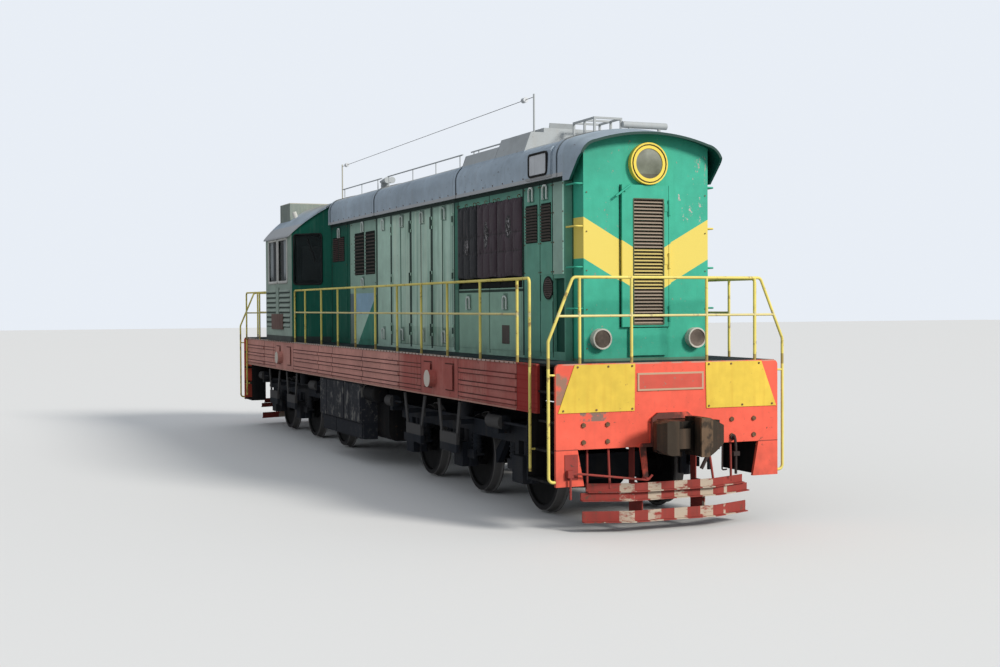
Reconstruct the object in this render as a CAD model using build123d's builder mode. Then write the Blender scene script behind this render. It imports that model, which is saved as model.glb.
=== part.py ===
from build123d import *
import math
import os

# Six-axle diesel shunting locomotive, standing on its wheel flanges. All sizes are in millimetres.
# X points to the front (the end of the long hood), Y to the left, Z up. The origin is under the middle
# of the underframe, level with the lowest point of the wheel flanges.

os.makedirs("parts", exist_ok=True)

# Running clearances
fit = 0.3
door_gap = 5

# Wheels and axles
flange_depth = 30
wheel_radius = 525
wheel_width = 140
wheel_back_y = 720
rim_inner_radius = 440
hub_radius = 160
hub_inner_y = 690
web_thickness = 34
axle_radius = 95
journal_radius = 75
journal_end_y = 1150
axle_z = wheel_radius + flange_depth

# Bogies
bogie_x = 4330
axle_spacing = 2000
frame_inner_y = 1000
frame_thickness = 90
bogie_half_length = 2620
frame_top_z = 1060
frame_belly_z = 850
pedestal_bottom_z = 400
pedestal_width = 120
axle_box_width = 320
axle_box_height = 330
spring_radius = 40
wing_reach = 440
wing_spring_radius = 62
box_inner_y = 950
box_outer_y = 1180
transom_width = 200
pivot_radius = 120

# Underframe
half_length = 8000
end_plate_thickness = 40
half_width = 1445
deck_top_z = 1900
deck_thickness = 30
sill_bottom_z = 1330
sill_inner_y = 1425
sill_front_x = 7540
sill_rear_x = -sill_front_x
step_inner_y = 1160
plate_bottom_z = 950
ear_bottom_z = 545
coupler_z = 1090

# Hood
hood_half_width = 920
hood_rear_x = -2860
hood_front_x = 7160
wall_thickness = 40
eave_z = 4060
corner_start_z = 4270
corner_mid = (868, 4440)
corner_end = (740, 4535)
crest_z = 4650
roof_thickness = 30
nose_front_x = 7458
nose_half_width = 828
visor_front_x = 7620
visor_drop = 90

# Cab
cab_half_width = 1500
cab_rear_x = -5600
cab_front_x = -3600
cab_wall = 50
cab_eave_z = 3940
cab_crest_z = 4575
cab_shoulder = (860, 4480)
cab_slope_mid = (1240, 4215)
cab_overhang = 35

# Railings
rail_radius = 17
rail_top_z = 2860
rail_mid_z = 2450


def block(x, y, z, mode=Mode.ADD):
    """Add or cut a box in the open part, from its limits along each axis."""
    with Locations(((x[0] + x[1]) / 2, (y[0] + y[1]) / 2, (z[0] + z[1]) / 2)):
        Box(x[1] - x[0], y[1] - y[0], z[1] - z[0], mode=mode)


def rod(start, end, radius, mode=Mode.ADD):
    """Add or cut a round bar between two points of the open part."""
    run = Vector(*end) - Vector(*start)
    with Locations(Plane(origin=start, z_dir=run)):
        Cylinder(radius, run.length, align=(Align.CENTER, Align.CENTER, Align.MIN), mode=mode)


def prism(points, plane, depth, mode=Mode.ADD):
    """Add or cut a prism in the open part, from a closed outline of corners on a plane."""
    with BuildSketch(plane) as outline:
        with BuildLine():
            Polyline(*points, close=True)
        make_face()
    extrude(outline.sketch, amount=depth, mode=mode)


def tube(points, radius, bend):
    """Add a bent round tube to the open part."""
    with BuildLine() as path:
        FilletPolyline(*points, radius=bend)
    with BuildSketch(Plane(origin=path.line @ 0, z_dir=path.line % 0)) as section:
        Circle(radius)
    sweep(section.sketch, path=path.line)


# Wheelsets: an axle with two flanged wheels pressed on, one body each
bogies = (("front", bogie_x), ("rear", -bogie_x))
wheelset_places = []
for end_name, centre_x in bogies:
    for number, along in enumerate((axle_spacing, 0, -axle_spacing), start=1):
        wheelset_places.append((f"{end_name}_wheelset_{number}", centre_x + along))

for wheelset_name, axle_x in wheelset_places:
    tyre_y = wheel_back_y + wheel_width
    with BuildPart() as wheelset:
        with BuildSketch(Plane(origin=(axle_x, 0, axle_z), x_dir=(0, 1, 0), z_dir=(-1, 0, 0))) as half:
            with BuildLine():
                Polyline(
                    (0, 0),
                    (0, axle_radius),
                    (hub_inner_y, axle_radius),
                    (hub_inner_y, hub_radius),
                    (wheel_back_y + 40, hub_radius + 10),
                    (wheel_back_y + 30, rim_inner_radius),
                    (wheel_back_y, rim_inner_radius + 10),
                    (wheel_back_y, wheel_radius + flange_depth - 12),
                    (wheel_back_y + 12, wheel_radius + flange_depth),
                    (wheel_back_y + 22, wheel_radius + flange_depth),
                    (wheel_back_y + 36, wheel_radius + 4),
                    (tyre_y - 8, wheel_radius - 3),
                    (tyre_y, wheel_radius - 10),
                    (tyre_y, rim_inner_radius + 10),
                    (tyre_y - 30, rim_inner_radius),
                    (wheel_back_y + 40 + web_thickness, hub_radius + 10),
                    (tyre_y + 20, hub_radius),
                    (tyre_y + 20, journal_radius),
                    (journal_end_y, journal_radius),
                    (journal_end_y, 0),
                    close=True,
                )
            make_face()
        revolve(half.sketch, axis=Axis((axle_x, 0, axle_z), (0, 1, 0)))
        mirror(about=Plane.XZ)
    wheelset.part.label = wheelset_name
    export_step(wheelset.part, f"parts/{wheelset_name}.step")


# Bogie frames, springs with axle boxes, brakes and motors
def frame_profile():
    """Corners of a side frame in X and Z about the bogie's centre, dipped over every axle box."""
    points = [(-bogie_half_length, frame_top_z), (-bogie_half_length, frame_belly_z)]
    half_gap = axle_box_width / 2 + fit
    for along in (-axle_spacing, 0, axle_spacing):
        points.append((along - half_gap - pedestal_width, frame_belly_z))
        points.append((along - half_gap - pedestal_width + 40, pedestal_bottom_z))
        points.append((along - half_gap, pedestal_bottom_z))
        points.append((along - half_gap, frame_belly_z + 40))
        points.append((along + half_gap, frame_belly_z + 40))
        points.append((along + half_gap, pedestal_bottom_z))
        points.append((along + half_gap + pedestal_width - 40, pedestal_bottom_z))
        points.append((along + half_gap + pedestal_width, frame_belly_z))
    points.append((bogie_half_length, frame_belly_z))
    points.append((bogie_half_length, frame_top_z))
    return points


side_bearer_z = 1290
hanger_y = -1290
hanger_thickness = 16
hanger_ends = (
    # top x and foot x about the bogie's centre
    (-1870, -1740),
    (-990, -1170),
    (-420, -310),
    (380, 260),
)
brake_cylinders = (
    # first x, last x, end of the rod
    (1320, 1750, 2480),
    (-2780, -2500, -2200),
)
brake_cylinder_radius = 90
brake_cylinder_y = -1240
brake_cylinder_z = 1110
lever_x = (2455, 2490)
shoe_reach = wheel_radius + 12
shoe_y = (-849, -765)
shoe_thickness = 48
side_plane = Plane(origin=(0, -frame_inner_y, 0), x_dir=(1, 0, 0), z_dir=(0, -1, 0))
hanger_plane = Plane(origin=(0, hanger_y, 0), x_dir=(1, 0, 0), z_dir=(0, -1, 0))
shoe_plane = Plane(origin=(0, shoe_y[1], 0), x_dir=(1, 0, 0), z_dir=(0, -1, 0))
with BuildPart() as bogie_frame:
    prism(frame_profile(), side_plane, frame_thickness)
    for top_x, foot_x in hanger_ends:
        prism([(top_x - 50, 1280), (top_x + 50, 1280), (foot_x + 32, 790), (foot_x - 32, 790)],
              hanger_plane, hanger_thickness)
        tie_x = (top_x + foot_x) / 2
        block((tie_x - 35, tie_x + 35), (hanger_y, -1080), (980, 1040))
    for (_, first_x), (_, last_x) in (hanger_ends[:2], hanger_ends[2:]):
        block((first_x - 32, last_x + 32), (hanger_y - 30, hanger_y + 15), (590, 850))
    for first_x, last_x, tip_x in brake_cylinders:
        rod((first_x, brake_cylinder_y, brake_cylinder_z), (last_x, brake_cylinder_y, brake_cylinder_z),
            brake_cylinder_radius)
        rod((last_x, brake_cylinder_y, brake_cylinder_z), (tip_x, brake_cylinder_y, brake_cylinder_z), 18)
        foot_x = (first_x + last_x) / 2
        block((foot_x - 60, foot_x + 60), (brake_cylinder_y + 40, -1080), (960, 1050))
        block((foot_x - 60, foot_x + 60), (brake_cylinder_y - 20, -1080), (960, 1030))
    block(lever_x, (-1255, -1225), (480, 1140))
    block(lever_x, (-1240, -1080), (900, 960))
    for direction in (-1, 1):
        for shoe_x, hung_x in ((shoe_reach, 925), (axle_spacing - shoe_reach, 1075)):
            lean = 1 if hung_x > shoe_x else -1
            outline = [(shoe_x, 470), (shoe_x + lean * shoe_thickness, 470), (hung_x + lean * 15, 840),
                       (hung_x + lean * 15, 905), (hung_x - lean * 45, 905), (shoe_x, 640)]
            prism([(direction * x, z) for x, z in outline], shoe_plane, shoe_y[1] - shoe_y[0])
        end_shoe_x = axle_spacing + shoe_reach
        block(tuple(sorted((direction * end_shoe_x, direction * (end_shoe_x + shoe_thickness)))), shoe_y,
              (470, 885))
    rod((0, -1045, frame_top_z), (0, -1045, side_bearer_z - fit), 90)
    mirror(about=Plane.XZ)
    for cross_x in (-axle_spacing / 2, axle_spacing / 2):
        block((cross_x - transom_width / 2, cross_x + transom_width / 2), (-frame_inner_y, frame_inner_y),
              (900, 1040))
        block((cross_x - 100, cross_x + 100), (-220, 220), (1040, 1180))
    for end_x in (-bogie_half_length + 60, bogie_half_length - 60):
        block((end_x - 60, end_x + 60), (-frame_inner_y, frame_inner_y), (880, 1030))
    block((-1000, 1000), (-220, 220), (1120, 1180))
    rod((0, 0, 1050), (0, 0, 1250), pivot_radius + fit, Mode.SUBTRACT)

with BuildPart() as axle_boxes:
    box_low_z = axle_z - axle_box_height / 2
    box_high_z = axle_z + axle_box_height / 2
    for along in (-axle_spacing, 0, axle_spacing):
        block((along - axle_box_width / 2, along + axle_box_width / 2), (-box_outer_y, -box_inner_y),
              (box_low_z, box_high_z))
        rod((along, -1045, box_high_z), (along, -1045, frame_belly_z + 40), spring_radius)
        block((along - wing_reach, along + wing_reach), (-1126, -1096), (520, 640))
        for spring_x in (along - wing_reach + 70, along + wing_reach - 70):
            block((spring_x - 68, spring_x + 68), (-1110, -975), (560, 590))
            rod((spring_x, -1045, 590), (spring_x, -1045, frame_belly_z), wing_spring_radius)
        rod((along, -journal_end_y - 2, axle_z), (along, 0, axle_z), journal_radius + fit, Mode.SUBTRACT)
    mirror(about=Plane.XZ)

with BuildPart() as motors:
    for along, side in ((axle_spacing, -1), (0, 1), (-axle_spacing, 1)):
        motor_x = along + side * 560
        rod((motor_x, -450, axle_z), (motor_x, 450, axle_z), 350)
        block(tuple(sorted((along - side * 150, motor_x))), (-430, 430), (axle_z - 160, axle_z + 160))
        rod((along, -700, axle_z), (along, 700, axle_z), axle_radius + fit, Mode.SUBTRACT)

for end_name, centre_x in bogies:
    for piece_name, piece in (("bogie_frame", bogie_frame), ("axle_boxes", axle_boxes), ("motors", motors)):
        placed = piece.part.moved(Location((centre_x, 0, 0)))
        placed.label = f"{end_name}_{piece_name}"
        export_step(placed, f"parts/{end_name}_{piece_name}.step")


# Underframe: deck, edge channels, centre sills, bolsters with pivot pins, headstocks and draft boxes
jack_pad_z = 1310
draft_inner_y = 130
draft_outer_y = 260
with BuildPart() as underframe:
    block((-half_length + end_plate_thickness, half_length - end_plate_thickness), (-sill_inner_y, sill_inner_y),
          (deck_top_z - deck_thickness, deck_top_z))
    for side in (-1, 1):
        block((-sill_front_x, sill_front_x), tuple(sorted((side * 1395, side * sill_inner_y))),
              (sill_bottom_z, deck_top_z - deck_thickness))
        block((-half_length + end_plate_thickness, half_length - end_plate_thickness),
              tuple(sorted((side * 350, side * 450))), (sill_bottom_z, deck_top_z - deck_thickness))
    for cross_x in (-2300, 2300):
        block((cross_x - 15, cross_x + 15), (-1395, 1395), (1450, deck_top_z - deck_thickness))
    for centre_x in (-bogie_x, bogie_x):
        block((centre_x - 300, centre_x + 300), (-1395, 1395), (sill_bottom_z, deck_top_z - deck_thickness))
        block((centre_x - 300, centre_x + 300), (-1180, 1180), (side_bearer_z, sill_bottom_z))
        rod((centre_x, 0, 1050), (centre_x, 0, side_bearer_z), pivot_radius)
        for side in (-1, 1):
            block((centre_x - 120, centre_x + 120), tuple(sorted((side * 1210, side * 1370))),
                  (jack_pad_z, sill_bottom_z))
    for end in (-1, 1):
        block(tuple(sorted((end * 7860, end * (half_length - end_plate_thickness)))), (-step_inner_y, step_inner_y),
              (plate_bottom_z, deck_top_z - deck_thickness))
        block(tuple(sorted((end * 7000, end * 7860))), (-draft_outer_y, draft_outer_y),
              (plate_bottom_z, sill_bottom_z))
        block(tuple(sorted((end * 7300, end * half_length))), (-draft_inner_y, draft_inner_y),
              (coupler_z - 110, coupler_z + 110), Mode.SUBTRACT)
underframe.part.label = "underframe"
export_step(underframe.part, "parts/underframe.step")

# End plates with rounded shoulders, the ears beside the steps, and a cast striker round each coupler
striker_inner_y = 210
striker_top_z = 1260
striker_depth = 60
strap_thickness_x = 20
with BuildPart() as end_plates:
    with BuildSketch(Plane(origin=(half_length - end_plate_thickness, 0, 0), x_dir=(0, 1, 0),
                           z_dir=(1, 0, 0))) as outline:
        with BuildLine():
            Polyline(
                (-half_width, deck_top_z),
                (-half_width, plate_bottom_z),
                (-half_width, ear_bottom_z),
                (-1100, ear_bottom_z),
                (-1180, plate_bottom_z),
                (1180, plate_bottom_z),
                (1100, ear_bottom_z),
                (half_width, ear_bottom_z),
                (half_width, deck_top_z),
                close=True,
            )
        make_face()
        fillet(outline.vertices().group_by(Axis.Y)[-1], 60)
        with Locations((0, (plate_bottom_z + striker_top_z) / 2)):
            Rectangle(2 * striker_inner_y, striker_top_z - plate_bottom_z, mode=Mode.SUBTRACT)
    extrude(outline.sketch, amount=end_plate_thickness)
    striker_plane = Plane(origin=(half_length, 0, 0), x_dir=(0, 1, 0), z_dir=(1, 0, 0))
    striker_outline = [(-striker_inner_y, plate_bottom_z), (-striker_inner_y, striker_top_z),
                       (striker_inner_y, striker_top_z), (striker_inner_y, plate_bottom_z),
                       (striker_inner_y + 60, plate_bottom_z), (striker_inner_y + 60, striker_top_z + 10),
                       (striker_inner_y - 20, striker_top_z + 70), (-striker_inner_y + 20, striker_top_z + 70),
                       (-striker_inner_y - 60, striker_top_z + 10), (-striker_inner_y - 60, plate_bottom_z + 40),
                       (-striker_inner_y - 180, plate_bottom_z + 40), (-striker_inner_y - 230, plate_bottom_z)]
    prism(striker_outline, striker_plane, striker_depth)
    prism([(-striker_inner_y - 200, plate_bottom_z), (-striker_inner_y - 120, plate_bottom_z),
           (-striker_inner_y - 90, 590), (-striker_inner_y - 150, 590)], striker_plane, strap_thickness_x)
    mirror(about=Plane.YZ)
end_plates.part.label = "end_plates"
export_step(end_plates.part, "parts/end_plates.step")

# Yellow warning panels, two on each end plate
panel_thickness = 10
with BuildPart() as end_panels:
    prism([(460, 1890), (470, 1360), (1420, 1360), (1215, 1890)],
          Plane(origin=(half_length, 0, 0), x_dir=(0, 1, 0), z_dir=(1, 0, 0)), panel_thickness)
    mirror(about=Plane.XZ)
    mirror(about=Plane.YZ)
end_panels.part.label = "end_panels"
export_step(end_panels.part, "parts/end_panels.step")

# Blank number plates
with BuildPart() as number_plates:
    block((half_length, half_length + 12), (-430, 430), (1580, 1784))
    mirror(about=Plane.YZ)
number_plates.part.label = "number_plates"
export_step(number_plates.part, "parts/number_plates.step")

# Side sills: ribbed steel panels outside the edge channels, with a cap and two covers beside each bogie
sill_panel_thickness = 30
rib_height = 18
rib_bands = ((1385, 1440), (1540, 1595), (1695, 1750))
strip_height = 18
cap_offset_x = -200
cap_radius = 115
cap_face_y = 1560
cover_spread_x = 720
cover_thickness = 6
sill_seams = (sill_rear_x, -5990, -3510, -1800, -900, 840, 2650, 5130, 6960, sill_front_x)
with BuildPart() as sill_panels:
    panel_face_y = sill_inner_y + sill_panel_thickness
    for left_x, right_x in zip(sill_seams, sill_seams[1:]):
        block((left_x + 4, right_x - 4), (-panel_face_y, -sill_inner_y), (sill_bottom_z, deck_top_z - 10))
        middle_x = (left_x + right_x) / 2
        if left_x < -bogie_x < right_x or left_x < bogie_x < right_x:
            for cover_x in (middle_x - cover_spread_x, middle_x + cover_spread_x):
                with BuildSketch(Plane(origin=(cover_x, -panel_face_y, 1640), x_dir=(1, 0, 0),
                                       z_dir=(0, -1, 0))) as cover_plate:
                    RectangleRounded(570, 380, 50)
                extrude(cover_plate.sketch, amount=cover_thickness)
        elif right_x < sill_front_x:
            for low_z, high_z in rib_bands:
                block((left_x + 20, right_x - 20), (-panel_face_y - rib_height, -panel_face_y), (low_z, high_z))
    block((sill_rear_x + 4, sill_front_x - 4), (-sill_inner_y - 20, -sill_inner_y),
          (sill_bottom_z, deck_top_z - 10))
    for strip_z in (sill_bottom_z, deck_top_z - 10 - strip_height):
        block((sill_rear_x + 4, sill_front_x - 4), (-panel_face_y - 12, -sill_inner_y),
              (strip_z, strip_z + strip_height))
    for centre_x in (-bogie_x, bogie_x):
        rod((centre_x + cap_offset_x, -panel_face_y, 1570), (centre_x + cap_offset_x, -cap_face_y, 1570),
            cap_radius)
    mirror(about=Plane.XZ)
sill_panels.part.label = "sill_panels"
export_step(sill_panels.part, "parts/sill_panels.step")

# Fuel tank and the equipment lockers hung beside it
with BuildPart() as fuel_tank:
    block((-1500, 1250), (-1150, 1150), (430, sill_bottom_z))
    fillet(fuel_tank.edges().filter_by(Axis.X).group_by(Axis.Z)[0], 150)
fuel_tank.part.label = "fuel_tank"
export_step(fuel_tank.part, "parts/fuel_tank.step")

locker_panels = (
    # first x, last x, low z, high z
    (-1760, -1370, 700, 1300),
    (-1340, -320, 700, 1300),
    (-280, -10, 700, 1300),
    (20, 620, 700, 1300),
    (-1700, -900, 440, 665),
    (-870, 600, 440, 665),
)
with BuildPart() as side_lockers:
    block((-1480, 650), (-1420, -1150), (680, sill_bottom_z))
    block((-1480, 650), (-1380, -1150), (420, 680))
    block((-1780, -1480), (-1420, -1265), (680, sill_bottom_z))
    block((-1740, -1480), (-1380, -1265), (420, 680))
    for first_x, last_x, low_z, high_z in locker_panels:
        face_y = 1420 if low_z >= 680 else 1380
        block((first_x, last_x), (-face_y - 18, -face_y), (low_z, high_z))
    mirror(about=Plane.XZ)
side_lockers.part.label = "side_lockers"
export_step(side_lockers.part, "parts/side_lockers.step")

reservoir_radius = 135
with BuildPart() as air_reservoirs:
    reservoir_y = -1150 - reservoir_radius - fit
    rod((700, reservoir_y, 1180), (1240, reservoir_y, 1180), reservoir_radius)
    fillet(air_reservoirs.edges().filter_by(GeomType.CIRCLE), 35)
    for band_x in (790, 1150):
        rod((band_x - 20, reservoir_y, 1180), (band_x + 20, reservoir_y, 1180), reservoir_radius + fit / 2)
        block((band_x - 20, band_x + 20), (reservoir_y - 20, reservoir_y + 20),
              (1180 + reservoir_radius - 10, sill_bottom_z))
    mirror(about=Plane.XZ)
air_reservoirs.part.label = "air_reservoirs"
export_step(air_reservoirs.part, "parts/air_reservoirs.step")

# Track guards: three bowed angle bars, one above the other, on hangers under each headstock
guard_bars = (
    # low z, height, reach in y
    (458, 96, 1025),
    (362, 90, 1090),
    (120, 125, 1070),
)
guard_thickness = 12
guard_lip = 55
guard_end_x = 7890
guard_bow = 190
guard_corner_y = 520
guard_hanger_x = 7878
with BuildPart() as track_guards:
    for low_z, bar_height, reach_y in guard_bars:
        bar_plane = Plane(origin=(0, 0, low_z), x_dir=(1, 0, 0), z_dir=(0, 0, 1))
        middle_x = guard_end_x + guard_bow
        outer = [(guard_end_x, -reach_y), (middle_x, -reach_y + guard_corner_y),
                 (middle_x, reach_y - guard_corner_y), (guard_end_x, reach_y)]
        inner = [(x - guard_thickness, y) for x, y in reversed(outer)]
        prism(outer + inner, bar_plane, bar_height)
        ledge = [(x + guard_lip, y) for x, y in outer] + [(x, y) for x, y in reversed(outer)]
        prism(ledge, bar_plane, guard_thickness)
    for side in (-1, 1):
        hanger_y = tuple(sorted((side * 400, side * 412)))
        block((guard_hanger_x - 120, guard_hanger_x), hanger_y, (200, plate_bottom_z))
        block((guard_hanger_x - 120, guard_end_x + guard_bow - guard_thickness), hanger_y, (150, 540))
        block((7862, guard_hanger_x), tuple(sorted((side * 340, side * 412))),
              (plate_bottom_z - 12, plate_bottom_z))
    for rod_y in (-1010, -770, 530, 830):
        bar_x = guard_end_x + guard_bow * min(1, (1060 - abs(rod_y)) / guard_corner_y) - guard_thickness - 6
        rod((bar_x, rod_y, 500), (min(bar_x, 7940), rod_y, plate_bottom_z - 4), 14)
    mirror(about=Plane.YZ)
track_guards.part.label = "track_guards"
export_step(track_guards.part, "parts/track_guards.step")

# Automatic couplers: a shank in the draft box, and a head with a small tooth, a lock and a big tooth
head_back_x = 8130
head_face_x = 8400
head_reach_x = 8640
head_low_z = coupler_z - 230
head_plane = Plane(origin=(0, 0, head_low_z), x_dir=(1, 0, 0), z_dir=(0, 0, 1))
with BuildPart() as big_tooth:
    prism([(10, -215), (130, -215), (430, -95), (430, 110), (130, 215), (10, 215)],
          Plane(origin=(8300, 0, coupler_z), x_dir=(0, 1, 0), z_dir=(1, 0, 0)), head_reach_x - 8300)
    prism([(8300, 10), (head_face_x, 60), (head_reach_x, 20), (head_reach_x, 110), (8570, 250), (8440, 430),
           (8330, 430), (8300, 200)], head_plane, 460, Mode.INTERSECT)
with BuildPart() as small_tooth:
    prism([(-430, -130), (-330, -190), (-190, -190), (-190, 190), (-330, 190), (-430, 150)],
          Plane(origin=(8300, 0, coupler_z), x_dir=(0, 1, 0), z_dir=(1, 0, 0)), head_reach_x - 8300)
    prism([(8300, -400), (8440, -430), (8570, -370), (8600, -280), (8570, -215), (8430, -190), (8300, -190)],
          head_plane, 460, Mode.INTERSECT)
with BuildPart() as couplers:
    block((7300, head_back_x + 50), (-70, 70), (coupler_z - 90, coupler_z + 90))
    prism([(head_back_x, -80), (8220, -260), (8310, -400), (head_face_x, -400), (head_face_x, 400), (8320, 400),
           (8220, 240), (head_back_x, 80)],
          Plane(origin=(0, 0, coupler_z - 165), x_dir=(1, 0, 0), z_dir=(0, 0, 1)), 330)
    add(big_tooth.part)
    add(small_tooth.part)
    block((head_face_x, 8490), (-170, -30), (coupler_z - 130, coupler_z + 90))
    rod((head_face_x - 60, -100, coupler_z - 165), (head_face_x - 60, -100, coupler_z - 225), 45)
    add(couplers.part, rotation=(0, 0, 180))
couplers.part.label = "couplers"
export_step(couplers.part, "parts/couplers.step")

# Uncoupling levers with their brackets, and the brake pipes and hooks under each end plate
lever_radius = 13
brake_pipe_radius = 22
with BuildPart() as uncoupling_gear:
    tube([(8045, -1290, 410), (8045, -1290, 690), (8070, -1180, 690), (8110, -360, 585), (8110, -300, 640)],
         lever_radius, 30)
    block((half_length, half_length + 8), (-1340, -1180), (620, 900))
    block((half_length, 8060), (-1325, -1255), (650, 730))
    block((half_length + strap_thickness_x, 8125), (-385, -335), (592, 612))
    tube([(half_length, 456, 1010), (8090, 456, 1010), (8120, 456, 900), (8120, 330, 680)], brake_pipe_radius, 35)
    rod((half_length, 456, 1010), (half_length + 25, 456, 1010), 45)
    tube([(half_length, 820, 1010), (8060, 820, 1010), (8075, 820, 900), (8075, 820, 590)],
         brake_pipe_radius - 6, 25)
    rod((half_length, 820, 1010), (half_length + 25, 820, 1010), 35)
    block((8050, 8100), (780, 860), (800, 850))
    tube([(half_length, 660, 1010), (8040, 660, 1010), (8050, 650, 640), (8090, 690, 650)], 9, 15)
    add(uncoupling_gear.part, rotation=(0, 0, 180))
uncoupling_gear.part.label = "uncoupling_gear"
export_step(uncoupling_gear.part, "parts/uncoupling_gear.step")

# Corner steps behind the end plate's ears
step_outer_y = half_width
step_rear_x = 7230
tread_thickness = 25
with BuildPart() as corner_steps:
    plate_back_x = half_length - end_plate_thickness
    block((sill_front_x, plate_back_x), (-step_inner_y - 10, -step_inner_y), (585, deck_top_z - deck_thickness))
    block((step_rear_x, step_rear_x + 10), (-step_outer_y, -step_inner_y), (585, sill_bottom_z))
    block((step_rear_x, sill_front_x), (-step_inner_y - 10, -step_inner_y), (585, sill_bottom_z))
    for tread_z in (560, 910):
        block((step_rear_x, plate_back_x), (-step_outer_y, -step_inner_y), (tread_z, tread_z + tread_thickness))
    for tread_z in (1240, 1570):
        block((sill_front_x, plate_back_x), (-step_outer_y, -step_inner_y), (tread_z, tread_z + tread_thickness))
    mirror(about=Plane.XZ)
    mirror(about=Plane.YZ)
corner_steps.part.label = "corner_steps"
export_step(corner_steps.part, "parts/corner_steps.step")


# Hood section in Y and Z, a straight side, a rounded shoulder and a low arch
def hood_arch(inset, drop, bottom_z):
    """Face of the roof section, moved in by the inset and down by the drop."""
    with BuildSketch(Plane(origin=(0, 0, 0), x_dir=(0, 1, 0), z_dir=(1, 0, 0))) as section:
        with BuildLine():
            side_y = hood_half_width + roof_thickness - inset
            start = (side_y, corner_start_z - drop)
            middle = (corner_mid[0] + roof_thickness - inset * 0.8, corner_mid[1] - drop - inset * 0.6)
            end = (corner_end[0], corner_end[1] - drop - inset)
            crest = (0, crest_z - drop - inset)
            Line((side_y, bottom_z), start)
            ThreePointArc(start, middle, end)
            ThreePointArc(end, crest, (-end[0], end[1]))
            ThreePointArc((-end[0], end[1]), (-middle[0], middle[1]), (-start[0], start[1]))
            Line((-side_y, start[1]), (-side_y, bottom_z))
            Line((-side_y, bottom_z), (side_y, bottom_z))
        make_face()
    return section.sketch


roof_outer = hood_arch(0, 0, eave_z)
roof_inner = hood_arch(roof_thickness, 0, eave_z)
fan_x = 5370
fan_opening_radius = 450
roof_bands = (hood_rear_x, -190, 3600, 6910)
band_width = 100
band_arch = hood_arch(-12, 0, eave_z)
board_x = (6130, 6860)
with BuildPart() as hood_roof:
    extrude(roof_outer.moved(Location((hood_rear_x, 0, 0))), amount=hood_front_x - hood_rear_x)
    for band_x in roof_bands:
        extrude(band_arch.moved(Location((band_x, 0, 0))), amount=band_width)
    for side in (-1, 1):
        prism([(side * 700, 4080), (side * 960, 4080), (side * 975, 4110), (side * 960, 4400), (side * 930, 4440),
               (side * 700, 4500)],
              Plane(origin=(board_x[0], 0, 0), x_dir=(0, 1, 0), z_dir=(1, 0, 0)), board_x[1] - board_x[0])
    extrude(roof_inner.moved(Location((hood_rear_x, 0, 0))), amount=hood_front_x - hood_rear_x, mode=Mode.SUBTRACT)
    with Locations((fan_x, 0, crest_z)):
        Cylinder(fan_opening_radius, 600, mode=Mode.SUBTRACT)
hood_roof.part.label = "hood_roof"
export_step(hood_roof.part, "parts/hood_roof.step")

# Visor: the roof carried forward over the nose, dropping towards its front edge, with raked sides
visor_side = [(hood_front_x - 1, eave_z - 60), (hood_front_x + 170, eave_z - 60), (visor_front_x + 1, 4290),
              (visor_front_x + 1, 5000), (hood_front_x - 1, 5000)]
with BuildPart() as roof_visor:
    for arch_inset, mode in ((0, Mode.ADD), (roof_thickness, Mode.SUBTRACT)):
        rear_arch = hood_arch(arch_inset, 0, eave_z - 60)
        front_arch = hood_arch(arch_inset, visor_drop, eave_z - 60)
        loft([rear_arch.moved(Location((hood_front_x, 0, 0))), front_arch.moved(Location((visor_front_x, 0, 0)))],
             ruled=True, mode=mode)
    prism(visor_side, Plane(origin=(0, -1100, 0), x_dir=(1, 0, 0), z_dir=(0, -1, 0)), -2200, Mode.INTERSECT)
roof_visor.part.label = "roof_visor"
export_step(roof_visor.part, "parts/roof_visor.step")

# Hood walls with the engine-room doorways and the radiator bay
bay_seams = (700, 1660, 2610, 3520)
post_half = 30
door_bottom_z = 1965
door_top_z = 4000
radiator_x = (3720, 5920)
radiator_z = (2780, 3910)
# Engine-room doors: two leaves to a bay, each hinged at its post
leaf_thickness = 30
leaf_meeting_gap = 6
knuckle_radius = 12
knuckle_half = 45
knuckle_stand_off = 12.5
strap_thickness = 6
hinge_heights = (2200, 2980, 3780)


def hinge_frame(pivot, out, along, heights):
    """Add the fixed half of a hinge, a knuckle above and below each height, to the open part."""
    for height in heights:
        for low_z, high_z in ((height - 2 * knuckle_half, height - knuckle_half - fit / 2),
                              (height + knuckle_half + fit / 2, height + 2 * knuckle_half)):
            hinge_half(pivot, out, -along, low_z, high_z, 24)


def hinge_half(pivot, out, along, low_z, high_z, strap_length):
    """Add one knuckle with its strap, which lies on the face that the pivot stands off from."""
    rod((pivot.X, pivot.Y, low_z), (pivot.X, pivot.Y, high_z), knuckle_radius)
    foot = pivot - out * knuckle_stand_off
    corners = [foot, foot + along * strap_length, foot + along * strap_length + out * strap_thickness,
               foot + out * strap_thickness]
    prism([(corner.X, corner.Y) for corner in corners], Plane.XY.offset(low_z), high_z - low_z)


def hoop(x, side, z):
    """Add an upright hoop handle to the outer face of a hood door, held by its two feet."""
    near_y, far_y = hood_half_width + 20, hood_half_width + 36
    right_half = [(62, -80), (62, 45), (30, 80)]
    inner_half = [(23, 64), (46, 38), (46, -80)]
    outline = [(x - along, z + up) for along, up in right_half]
    outline += [(x + along, z + up) for along, up in reversed(right_half)]
    outline += [(x + along, z + up) for along, up in reversed(inner_half)]
    outline += [(x - along, z + up) for along, up in inner_half]
    start_y = far_y if side > 0 else -near_y
    prism(outline, Plane(origin=(0, start_y, 0), x_dir=(1, 0, 0), z_dir=(0, -1, 0)), far_y - near_y)
    for foot_x in (x - 54, x + 54):
        block((foot_x - 8, foot_x + 8), tuple(sorted((side * hood_half_width, side * far_y))), (z - 96, z - 80))


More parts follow.
